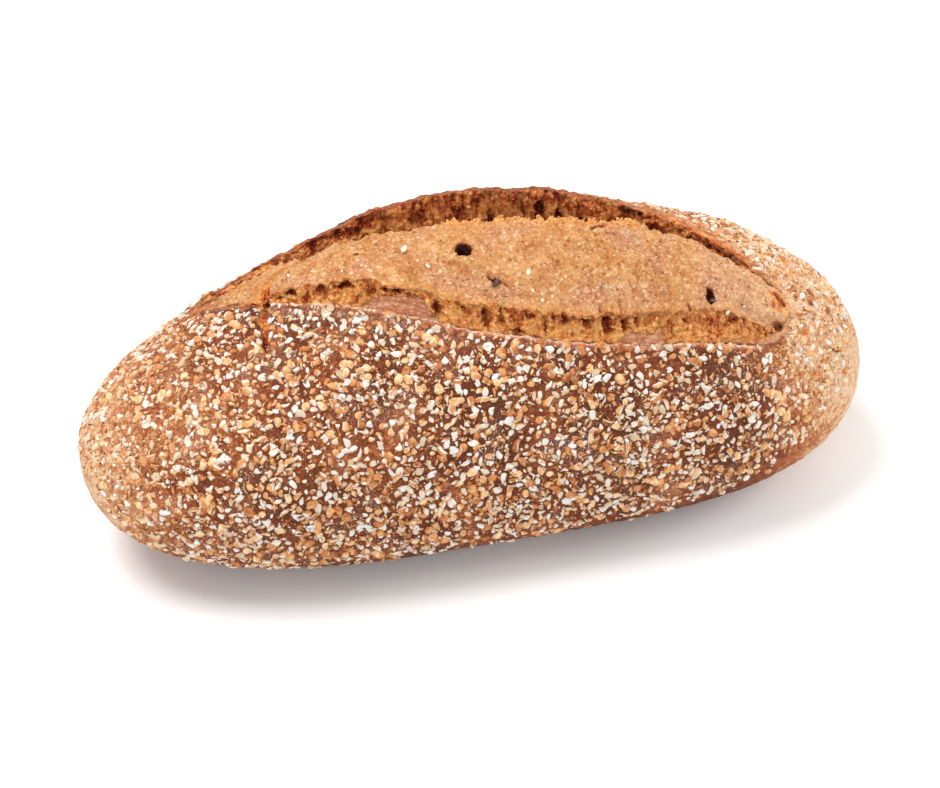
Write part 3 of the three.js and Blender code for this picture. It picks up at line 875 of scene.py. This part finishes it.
# Crust: pale tan at the ends, red brown on the front, with specks of bran and flour.
browned = sum_of(tree, (attribute(tree, "toast"), 0.86), (patches, 0.18), (mottle, 0.24),
                 (speck, -0.2))
crust_colour = shades(tree, browned, (0.0, 248, 216, 182), (0.2, 236, 184, 138),
                      (0.42, 190, 112, 64), (0.68, 138, 64, 34), (0.95, 94, 40, 22))
crust_colour = tint(tree, crust_colour, 214, 150, 98, (dots, 0.16))
dust = times(tree, attribute(tree, "dusty"), sum_of(tree, (pale_dot, 0.9), (dots, 0.15)))
crust_colour = blend(tree, dust, crust_colour, colour(232, 196, 170))
floury_colour = tint(tree, colour(150, 78, 52), 240, 204, 176, (pale_dot, 1.0), (dots, 0.4))
crust_colour = blend(tree, sum_of(tree, (attribute(tree, "floury"), 0.75)), crust_colour,
                     floury_colour)

# New skin of the tongue: tan with pinkish stretches, pebbled with pale and brown blisters.
streak = grain_mask(tree, strokes_at, 0.004, 0.42, 0.64)
skin_colour = blend(tree, patches, colour(212, 138, 68), colour(238, 178, 114))
flour = times(tree, pale_dot, level(tree, attribute(tree, "pink"), 0.1, 0.8))
for shade, *parts in (
    ((212, 148, 114), (attribute(tree, "pink"), 0.8)),
    ((242, 198, 156), (attribute(tree, "pale"), 0.5)),
    ((188, 106, 50), (mottle, 0.15), (streak, 0.25)),
    ((162, 84, 38), (brown_blister, 0.85), (brown_dot, 0.6)),
    ((253, 226, 184), (pale_blister, 0.75), (pale_dot, 0.65)),
    ((250, 226, 206), (flour, 0.75)),
    # Painted shade in the folds of the skin.
    ((182, 100, 50), (attribute(tree, "fold"), 0.2)),
):
    skin_colour = tint(tree, skin_colour, *shade, *parts)

# Torn crumb: golden on its ridges, orange below them, and red brown to dark in its hollows as
# painted shade, which the "deep" layer carries.
hollow = sum_of(tree, (attribute(tree, "deep"), 0.95), (stroke, 0.15), (mottle, 0.22),
                (speck, -0.18), (dots, -0.08))
crumb_and_shade = shades(tree, hollow, (0.0, 250, 180, 96), (0.15, 234, 134, 54),
                      (0.38, 200, 84, 30), (0.64, 146, 48, 20), (1.0, 60, 20, 11))
crumb_and_shade = blend(tree, sum_of(tree, (attribute(tree, "fibre"), 0.7)), crumb_and_shade,
                     blend(tree, stroke, colour(250, 194, 116), colour(226, 128, 48)))
thread = times(tree, fine_stroke, level(tree, hollow, 0.7, 0.2))
crumb_and_shade = tint(tree, crumb_and_shade, 252, 208, 142, (thread, 0.5))

surface = blend(tree, attribute(tree, "skin"), crust_colour, skin_colour)
surface = blend(tree, attribute(tree, "blush"), surface,
                shades(tree, sum_of(tree, (stroke, 0.35), (pale_dot, -0.5), (brown_dot, 0.35),
                                    (mottle, 0.3)),
                       (0.0, 236, 184, 146), (0.3, 208, 136, 100), (1.0, 158, 82, 56)))
surface = blend(tree, sum_of(tree, (attribute(tree, "pale"), 0.6)), surface, skin_colour)
surface = blend(tree, attribute(tree, "rim"), surface,
                shades(tree, sum_of(tree, (mottle, 0.6), (speck, 0.4)), (0.0, 222, 138, 72),
                       (0.4, 178, 90, 44), (1.0, 116, 50, 26)))
# Torn crumb, and the painted shade of its hollows, the crevice and the bubbles, over the rest.
for torn in ("crumb", "deep"):
    surface = blend(tree, attribute(tree, torn), surface, crumb_and_shade)
lip = attribute(tree, "lip")
surface = blend(tree, level(tree, lip, 0.05, 0.3), surface,
                shades(tree, sum_of(tree, (lip, 0.9), (pale_dot, 0.3), (brown_dot, -0.3)),
                       (0.2, 156, 80, 52), (0.55, 206, 136, 102), (0.85, 250, 212, 178)))
tree.links.new(surface, shader.inputs["Base Color"])
roughness = reckon(tree, "ADD", sum_of(tree, (mottle, 0.14), (speck, 0.12)), 0.58)
tree.links.new(roughness, shader.inputs["Roughness"])
height = sum_of(tree, (speck, 0.3), (dots, 0.2), (streak, -0.3), (fine_stroke, 0.15),
                (mottle, 0.4), (blister, 0.45), (fine_blister, 0.2))
add_relief(tree, shader, height, 1.0, 0.0008)
shader.inputs["Specular IOR Level"].default_value = 0.2
loaf_mesh.materials.append(bread)

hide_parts("loaf")
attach(loaf, "root")


# ---- Cracked wheat -----------------------------------------------------------------------
# Before it was baked the loaf was rolled in cracked wheat: broken pieces of the kernel, 2 to
# 4 mm long, with golden bran on their round side and white starch where they broke, and
# finer chips, bran flakes and meal between them. They are stuck a little way into the crust.
STARCH_SIZE = (5.3, 3.4, 2.7)
BRAN_SIZE = (5.5, 3.9, 2.6)
CHIP_SIZE = (3.1, 1.9, 1.5)
MEAL_SIZE = (0.9, 0.6, 0.5)
GRAIN_KINDS = [
    # name, shapes, how many shapes, where, pieces in a square metre, spacing, least and
    # largest size, sunk, tilt, seed, from and to which share of the places. The first two
    # share the same places, so that the large pieces lie side by side.
    ("wheat_starch", "starch", 16, "seeded_large", 280000, 2.05, 0.5, 1.1, 0.5, 0.4, 11,
     0, 0.52),
    ("wheat_bran_side", "bran", 16, "seeded_large", 280000, 2.05, 0.5, 1.1, 0.5, 0.4, 11,
     0.52, 1),
    ("wheat_chips", "chip", 18, "seeded", 96000, 1.5, 0.45, 1.15, 0.1, 0.7, 37, 0, 1),
    ("wheat_flakes", "flake", 14, "seeded", 150000, 1.1, 0.6, 1.3, 0.0, 0.6, 41, 0, 1),
    ("wheat_meal", "meal", 6, "dusted", 460000, 0.5, 0.5, 1.4, 0.0, 1.5, 53, 0, 1),
]


def random_direction(draw):
    """A random unit vector."""
    direction = Vector(draw.normal(size=3).tolist())
    return direction.normalized()


def cut_kernel(bm, cuts, layer):
    """Cuts a lump by planes, each a (direction, distance), and closes it with broken faces."""
    for direction, distance in cuts:
        everything = bm.verts[:] + bm.edges[:] + bm.faces[:]
        cut = bmesh.ops.bisect_plane(
            bm, geom=everything, plane_co=direction * distance, plane_no=direction,
            clear_outer=True,
        )
        edges = [e for e in cut["geom_cut"] if isinstance(e, bmesh.types.BMEdge)]
        filled = bmesh.ops.edgeloop_fill(bm, edges=edges)
        for face in filled["faces"]:
            face[layer] = 0.0


def small_piece(name, bm, flat=None):
    """An object, in metres, from a mesh made round the origin in millimetres. Its faces with
    0 in the flat layer are broken ones, and stay flat."""
    bmesh.ops.triangulate(bm, faces=bm.faces)
    bmesh.ops.recalc_face_normals(bm, faces=bm.faces)
    for vertex in bm.verts:
        vertex.co /= 1000
    for face in bm.faces:
        face.smooth = flat is None or face[flat] > 0.5
    mesh = bpy.data.meshes.new(name)
    bm.to_mesh(mesh)
    bm.free()
    return bpy.data.objects.new(name, mesh)


def grain_shape(name, size, rings, cuts, draw, soften=0):
    """One broken piece: an uneven ellipsoid of that size, cut by planes. What is left of its
    round side is bran."""
    bm = bmesh.new()
    bmesh.ops.create_uvsphere(bm, u_segments=2 * rings - 1, v_segments=rings, radius=0.5)
    layer = bm.faces.layers.float.new("bran")
    bulge, dent = random_direction(draw), random_direction(draw)
    for face in bm.faces:
        face[layer] = 1.0
    for vertex in bm.verts:
        way = vertex.co.normalized()
        uneven = 1 + 0.16 * way.dot(bulge) ** 3 - 0.2 * max(0, way.dot(dent)) ** 3
        vertex.co = Vector(a * b * uneven for a, b in zip(vertex.co, size))
    cut_kernel(bm, cuts, layer)
    for _ in range(soften):
        bmesh.ops.smooth_vert(bm, verts=bm.verts, factor=0.4,
                              use_axis_x=True, use_axis_y=True, use_axis_z=True)
    low, high = (
        Vector(pick(v.co[i] for v in bm.verts) for i in range(3)) for pick in (min, max)
    )
    # Height within the piece: the wheat's colour darkens its foot, partly as browning and partly
    # as painted contact shade.
    crown = bm.verts.layers.float.new("crown")
    for vertex in bm.verts:
        vertex[crown] = (vertex.co.z - low.z) / (high.z - low.z)
        vertex.co -= (low + high) / 2
    return small_piece(name, bm, layer)


def kernel_cuts(kind, draw):
    """The planes that broke one piece of a kind out of its kernel."""
    def plane(x, y, z, distance):
        return Vector((x, y, z)).normalized(), distance
    if kind == "starch":
        return [
            plane(draw.uniform(-0.5, 0.5), draw.uniform(-0.6, 0.6), 1, draw.uniform(0.4, 1.0)),
            plane(1, draw.uniform(-1.4, 1.4), draw.uniform(-0.3, 0.5), draw.uniform(1.1, 2.2)),
            plane(draw.uniform(-0.6, 0.6), draw.choice([-1, 1]), draw.uniform(0, 0.9),
                  draw.uniform(0.7, 1.4)),
        ]
    if kind == "bran":
        return [
            plane(1, draw.uniform(-1, 1), draw.uniform(-0.2, 0.6), draw.uniform(0.9, 2.4)),
            plane(draw.uniform(-0.6, 0.6), draw.choice([-1, 1]), draw.uniform(0.1, 0.9),
                  draw.uniform(0.6, 1.6)),
        ]
    return [(random_direction(draw), draw.uniform(0.3, 0.7)) for _ in range(3)]


def flake_shape(name, draw):
    """A curled shred of bran: a thin bent plate with narrow ends."""
    long, wide, thick = draw.uniform(1.4, 3.2), draw.uniform(0.6, 1.4), 0.18
    curl, bow = draw.uniform(0.1, 0.5), draw.uniform(-0.3, 0.3)
    bm = bmesh.new()
    rings = []
    for i in range(3):
        t = i / 2 - 0.5
        reach = wide / 2 * (1 if i == 1 else draw.uniform(0.15, 0.6))
        z = curl * (0.5 - 2 * t * t)
        shift = bow * 4 * t * t
        rings.append([
            bm.verts.new((long * t, shift - reach, z - 0.2 * curl)),
            bm.verts.new((long * t, shift, z + thick)),
            bm.verts.new((long * t, shift + reach, z - 0.2 * curl)),
            bm.verts.new((long * t, shift, z - thick)),
        ])
    for first, second in zip(rings, rings[1:]):
        for k in range(4):
            bm.faces.new((first[k], first[(k + 1) % 4], second[(k + 1) % 4], second[k]))
    bm.faces.new(rings[0])
    bm.faces.new(rings[-1])
    layer = bm.faces.layers.float.new("bran")
    bran = float(draw.uniform() < 0.8)
    for face in bm.faces:
        face[layer] = bran
    # The ends count as low, so they take the darker foot of the wheat's colour.
    crown = bm.verts.layers.float.new("crown")
    for vertex in bm.verts:
        vertex[crown] = 0.8 if abs(vertex.co.x) < 0.1 else 0.5
    return small_piece(name, bm)


def grain_shapes(kind, count):
    """A collection of the different pieces of one kind, lying flat round the origin."""
    draw = np.random.default_rng(sum(map(ord, kind)))
    made = bpy.data.collections.new(kind)
    sizes = {"starch": STARCH_SIZE, "bran": BRAN_SIZE, "chip": CHIP_SIZE, "meal": MEAL_SIZE}
    for i in range(count):
        name = f"{kind}_{i:02d}"
        if kind == "flake":
            piece = flake_shape(name, draw)
        else:
            size = np.array(sizes[kind]) * draw.uniform(0.82, 1.12, 3)
            large = kind in ("starch", "bran")
            cuts = [] if kind == "meal" else kernel_cuts(kind, draw)
            rings = {"meal": 3, "chip": 4}.get(kind, 5)
            piece = grain_shape(name, size, rings, cuts, draw, 1 if large else 0)
        if kind in ("meal", "chip", "starch"):
            bran = float(draw.uniform() < 0.45)
            for value in piece.data.attributes["bran"].data:
                value.value = min(value.value, bran)
        made.objects.link(piece)
    return made


def scatter_tree():
    """Lays the pieces of a collection over a mesh, where its attribute says, turned at random,
    and gives each of them a number of its own for its colour."""
    tree = bpy.data.node_groups.new("laid on the crust", "GeometryNodeTree")
    face = tree.interface
    face.new_socket("Geometry", in_out="OUTPUT", socket_type="NodeSocketGeometry")
    for name, kind in (
        ("Geometry", "Geometry"), ("Pieces", "Collection"), ("Where", "String"),
        ("Density", "Float"), ("Spacing", "Float"), ("Least Size", "Float"),
        ("Largest Size", "Float"), ("Sunk", "Float"), ("Tilt", "Float"), ("Seed", "Int"),
        ("From Share", "Float"), ("To Share", "Float"), ("Finish", "Material"),
    ):
        face.new_socket(name, in_out="INPUT", socket_type="NodeSocket" + kind)
    given = put(tree, "NodeGroupInput").outputs
    where = put(tree, "GeometryNodeInputNamedAttribute", {"Name": given["Where"]},
                data_type="FLOAT").outputs["Attribute"]
    points = put(tree, "GeometryNodeDistributePointsOnFaces", {
        "Mesh": given["Geometry"], "Distance Min": given["Spacing"],
        "Density Max": given["Density"], "Density Factor": where, "Seed": given["Seed"],
    }, distribute_method="POISSON").outputs
    tilted = put(tree, "ShaderNodeCombineXYZ", {"X": given["Tilt"], "Y": given["Tilt"],
                                                "Z": math.pi}).outputs[0]
    tilted_back = put(tree, "ShaderNodeVectorMath", {0: tilted, "Scale": -1.0},
                      operation="SCALE").outputs[0]
    turn = put(tree, "FunctionNodeRandomValue", {
        "Min": tilted_back, "Max": tilted, "Seed": given["Seed"],
    }, data_type="FLOAT_VECTOR").outputs["Value"]
    rotation = put(tree, "FunctionNodeRotateRotation", {
        "Rotation": points["Rotation"], "Rotate By": turn,
    }, rotation_space="LOCAL").outputs[0]

    def draw_number(seed_after, least=0.0, largest=1.0):
        """A random number for each place, from a seed of its own."""
        seed = reckon(tree, "ADD", given["Seed"], seed_after)
        return put(tree, "FunctionNodeRandomValue", {2: least, 3: largest, "Seed": seed},
                   data_type="FLOAT").outputs[1]

    share = draw_number(3.0)
    over = reckon(tree, "GREATER_THAN", share, given["From Share"])
    under = reckon(tree, "LESS_THAN", share, given["To Share"])
    chosen = put(tree, "GeometryNodeSeparateGeometry", {
        "Geometry": points["Points"], "Selection": times(tree, over, under),
    }, domain="POINT").outputs["Selection"]
    pieces = put(tree, "GeometryNodeCollectionInfo", {
        "Collection": given["Pieces"], "Separate Children": True, "Reset Children": True,
    }).outputs[0]
    laid = put(tree, "GeometryNodeInstanceOnPoints", {
        "Points": chosen, "Pick Instance": True, "Rotation": rotation, "Instance": pieces,
        "Scale": draw_number(1.0, given["Least Size"], given["Largest Size"]),
    })
    shift = put(tree, "ShaderNodeCombineXYZ", {"Z": times(tree, given["Sunk"], -0.001)})
    sunk = put(tree, "GeometryNodeTranslateInstances", {
        "Instances": laid.outputs[0], "Translation": shift.outputs[0], "Local Space": True,
    }).outputs[0]
    kept = put(tree, "GeometryNodeStoreNamedAttribute", {
        "Geometry": sunk, "Name": "tone", "Value": draw_number(2.0),
    }, data_type="FLOAT", domain="INSTANCE")
    real = put(tree, "GeometryNodeRealizeInstances", {"Geometry": kept.outputs[0]})
    finished = put(tree, "GeometryNodeSetMaterial", {
        "Geometry": real.outputs[0], "Material": given["Finish"],
    })
    put(tree, "NodeGroupOutput", {"Geometry": finished.outputs[0]})
    return tree


# What a laid piece keeps of the numbers stored on the loaf where it lies; "deep" is the
# painted shade there.
KEPT_LAYERS = ("position", "deep", "toast")


def lay(name, host, tree, inputs):
    """Runs a tree on a copy of the host's mesh, and returns what it makes as a plain piece.
    The pieces that it laid are removed."""
    carrier = add_object(name + "_carrier", host.data)
    modifier = carrier.modifiers.new("lay", "NODES")
    modifier.node_group = tree
    for socket in tree.interface.items_tree:
        if socket.in_out == "INPUT" and socket.name in inputs:
            modifier[socket.identifier] = inputs[socket.name]
    bpy.context.view_layer.update()
    made = carrier.evaluated_get(bpy.context.evaluated_depsgraph_get())
    mesh = bpy.data.meshes.new_from_object(made)
    bpy.data.objects.remove(carrier)
    mesh.name = name
    for layer_name in [layer.name for layer in host.data.attributes]:
        if layer_name not in KEPT_LAYERS and not layer_name.startswith("."):
            mesh.attributes.remove(mesh.attributes[layer_name])
    for shape in list(inputs["Pieces"].objects):
        bpy.data.objects.remove(shape)
    bpy.data.collections.remove(inputs["Pieces"])
    return add_object(name, mesh)


def wheat_material():
    """Bran that is golden to brown with a waxy sheen, and dry white starch."""
    material, tree, shader = empty_material("cracked wheat")
    here = own_place(tree)
    tone = attribute(tree, "tone")
    bran = attribute(tree, "bran")
    mottle = grain_mask(tree, here, 0.0016, 0.38, 0.62)
    # Each piece is browner towards its foot: partly baked on where it touched the dough, partly
    # painted contact shade.
    foot = level(tree, attribute(tree, "crown"), 0.75, 0.3)
    golden = shades(tree, sum_of(tree, (tone, 0.75), (mottle, 0.4), (foot, -0.4)),
                    (0.0, 106, 48, 24), (0.15, 148, 80, 38), (0.36, 188, 114, 58),
                    (0.6, 208, 144, 84), (0.83, 224, 176, 122), (1.0, 234, 204, 160))
    white = shades(tree, tone, (0.0, 196, 166, 130), (0.2, 212, 200, 178),
                   (0.45, 220, 215, 205), (1.0, 225, 225, 221))
    white = tint(tree, white, 190, 148, 104, (mottle, 0.15), (foot, 0.6))
    # Towards the loaf's ends the starch is tanned as well.
    tanned = times(tree, level(tree, attribute(tree, "toast"), 0.8, 0.3),
                   level(tree, tone, 0.9, 0.3))
    white = tint(tree, white, 226, 186, 138, (tanned, 0.6))
    tree.links.new(blend(tree, bran, white, golden), shader.inputs["Base Color"])
    roughness = reckon(tree, "ADD", times(tree, bran, -0.25), 0.75)
    tree.links.new(roughness, shader.inputs["Roughness"])
    fine = grain_mask(tree, here, 0.0004, 0.3, 0.7)
    add_relief(tree, shader, sum_of(tree, (fine, 0.5), (mottle, 0.5)), 0.5, 0.0002)
    shader.inputs["Specular IOR Level"].default_value = 0.35
    return material


laid_on_crust = scatter_tree()
wheat = wheat_material()
for (name, kind, count, where, density, spacing, least, largest, sunk, tilt, seed, first_share,
     last_share) in GRAIN_KINDS:
    grains = lay(name, loaf, laid_on_crust, {
        "Pieces": grain_shapes(kind, count), "Where": where, "Density": float(density),
        "Spacing": spacing / 1000, "Least Size": least, "Largest Size": largest,
        "Sunk": sunk, "Tilt": tilt, "Seed": seed, "From Share": float(first_share),
        "To Share": float(last_share), "Finish": wheat,
    })
    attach(grains, "root")


# ---- Loose crumb -------------------------------------------------------------------------
# Torn bits of crumb that stand up on the wall, in the ear's hollow face and along the
# tongue's back edge, where the dough ripped. They keep the colour of the place they lie on,
# painted shade included.
CRUMB_SIZE = (1.5, 0.7, 0.8)
CRUMB_DENSITY = 900000
CRUMB_SPACING = 0.6


def crumb_material():
    """Dry torn crumb, golden where it stands up; browner by the painted shade of the hollows."""
    material, tree, shader = empty_material("torn crumb")
    speck = grain_mask(tree, own_place(tree), 0.0007, 0.4, 0.6)
    shade = sum_of(tree, (attribute(tree, "deep"), 0.6), (attribute(tree, "tone"), 0.25),
                   (speck, 0.12))
    shaded = shades(tree, shade, (0.0, 248, 204, 142), (0.25, 234, 160, 86),
                    (0.5, 194, 104, 46), (0.8, 126, 54, 27), (1.0, 66, 28, 17))
    tree.links.new(shaded, shader.inputs["Base Color"])
    add_relief(tree, shader, speck, 0.5, 0.0003)
    shader.inputs["Roughness"].default_value = 0.85
    shader.inputs["Specular IOR Level"].default_value = 0.25
    return material


crumb_bits = bpy.data.collections.new("crumb_bits")
draw = np.random.default_rng(7)
for number in range(10):
    size = np.array(CRUMB_SIZE) * draw.uniform(0.6, 1.3, 3)
    cuts = [(random_direction(draw), draw.uniform(0.1, 0.3)) for _ in range(2)]
    crumb_bits.objects.link(grain_shape(f"crumb_{number:02d}", size, 3, cuts, draw))
crumbs = lay("loose_crumb", loaf, laid_on_crust, {
    "Pieces": crumb_bits, "Where": "ragged", "Density": float(CRUMB_DENSITY),
    "Spacing": CRUMB_SPACING / 1000, "Least Size": 0.5, "Largest Size": 1.4, "Sunk": 0.0,
    "Tilt": 1.5, "Seed": 71, "From Share": 0.0, "To Share": 1.0, "Finish": crumb_material(),
})
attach(crumbs, "root")


# ---- Seeds and flecks on the cut ---------------------------------------------------------
# Linseeds and dark bits of the dough that came up in the tongue's bubbles and under the
# ear, and a few white flecks of wheat that fell on the new skin.
LINSEED = (4.6, 2.4, 1.3)
SEEDS = [
    # x, y, size, turn and tilt in degrees, height over the surface under it
    (3.4, -25.4, 0.8, -32, 20, 1.6),
    (76.2, -34.4, 0.95, 60, 30, 1.8),
]
DARK_BITS = [
    # x, y, length, turn in degrees
    (-39.8, -3.2, 2.2, 20), (64, -14.6, 2.2, 60), (-14.1, 21.4, 3.0, 10),
]
BIT_SHAPE = (1.0, 0.5, 0.34)
FLECKS = [
    # x, y, length
    (-62.8, -1, 1.9), (-54, -3.5, 1.1), (-46, -8.8, 1.3), (-39.5, -10, 1.4),
    (-18.4, -16.8, 2.4), (-24.1, -6.7, 3.6), (-12.5, -23.5, 1.3), (14.3, -25, 2.6),
    (14.3, -30.3, 1.8), (16.8, -33, 2.5), (41.6, -17, 1.4), (81.2, -38.4, 2.2),
    (88.5, -34.5, 1.2),
]
FLECK_SHAPE = (1.0, 0.62, 0.4)


def place_on_loaf(name, pieces):
    """Joins (object, x, y, turn, tilt, height) pieces, each set on the loaf's top at x, y."""
    surface = BVHTree.FromPolygons(
        [vertex.co for vertex in loaf.data.vertices],
        [face.vertices[:] for face in loaf.data.polygons],
    )
    joined = bmesh.new()
    for piece, at_x, at_y, turn, tilt, height in pieces:
        top = surface.ray_cast(Vector((at_x / 1000, at_y / 1000, 0.2)), Vector((0, 0, -1)))
        place, normal = top[0], top[1]
        lie = normal.to_track_quat("Z", "X").to_matrix().to_4x4()
        spin = Matrix.Rotation(math.radians(turn), 4, "Z")
        tip = Matrix.Rotation(math.radians(tilt), 4, "Y")
        at = Matrix.Translation(place + normal * height / 1000)
        piece.data.transform(at @ lie @ spin @ tip)
        joined.from_mesh(piece.data)
        bpy.data.objects.remove(piece)
    mesh = bpy.data.meshes.new(name)
    joined.to_mesh(mesh)
    joined.free()
    return add_object(name, mesh)


def seed_shape(name, scale):
    """A linseed: a flat drop, pointed at one end."""
    bm = bmesh.new()
    bmesh.ops.create_uvsphere(bm, u_segments=16, v_segments=10, radius=0.5)
    for vertex in bm.verts:
        long = vertex.co.z
        narrow = 1 - 0.45 * max(0, 2 * long) ** 1.6
        vertex.co = Vector((long * LINSEED[0], vertex.co.x * LINSEED[1] * narrow,
                            vertex.co.y * LINSEED[2] * narrow)) * scale
    return small_piece(name, bm)


draw = np.random.default_rng(19)
seeds = place_on_loaf("linseeds", [
    (seed_shape(f"linseed_{i}", scale), at_x, at_y, turn, tilt, height)
    for i, (at_x, at_y, scale, turn, tilt, height) in enumerate(SEEDS)
])
seed_coat, tree, shader = empty_material("linseed")
streaks = grain_mask(tree, own_place(tree), 0.0009, 0.35, 0.65)
tree.links.new(blend(tree, streaks, colour(44, 26, 22), colour(98, 52, 40)),
               shader.inputs["Base Color"])
add_relief(tree, shader, streaks, 0.4, 0.0002)
shader.inputs["Roughness"].default_value = 0.32
shader.inputs["Coat Weight"].default_value = 0.3
seeds.data.materials.append(seed_coat)
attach(seeds, "root")

bits = place_on_loaf("dark_bits", [
    (grain_shape(f"bit_{i}", np.array(BIT_SHAPE) * long, 6,
                 [(random_direction(draw), 0.16 * long)], draw, 1),
     at_x, at_y, turn, 10, 0.1 * long)
    for i, (at_x, at_y, long, turn) in enumerate(DARK_BITS)
])
scorched, tree, shader = empty_material("scorched bit")
chars = grain_mask(tree, own_place(tree), 0.0011, 0.36, 0.62)
tree.links.new(shades(tree, chars, (0.0, 62, 28, 22), (0.5, 122, 54, 30), (1.0, 188, 108, 56)),
               shader.inputs["Base Color"])
add_relief(tree, shader, chars, 0.8, 0.0004)
shader.inputs["Roughness"].default_value = 0.55
bits.data.materials.append(scorched)
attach(bits, "root")

flecks = place_on_loaf("white_flecks", [
    (grain_shape(f"fleck_{i}", np.array(FLECK_SHAPE) * long, 5, [], draw, 1),
     at_x, at_y, draw.uniform(0, 180), draw.uniform(-8, 8), 0.1 * long)
    for i, (at_x, at_y, long) in enumerate(FLECKS)
])
starch, tree, shader = empty_material("wheat fleck")
grain = grain_mask(tree, own_place(tree), 0.0006, 0.4, 0.62)
tree.links.new(blend(tree, grain, colour(244, 238, 228), colour(226, 204, 172)),
               shader.inputs["Base Color"])
add_relief(tree, shader, grain, 0.5, 0.0002)
shader.inputs["Roughness"].default_value = 0.8
flecks.data.materials.append(starch)
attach(flecks, "root")
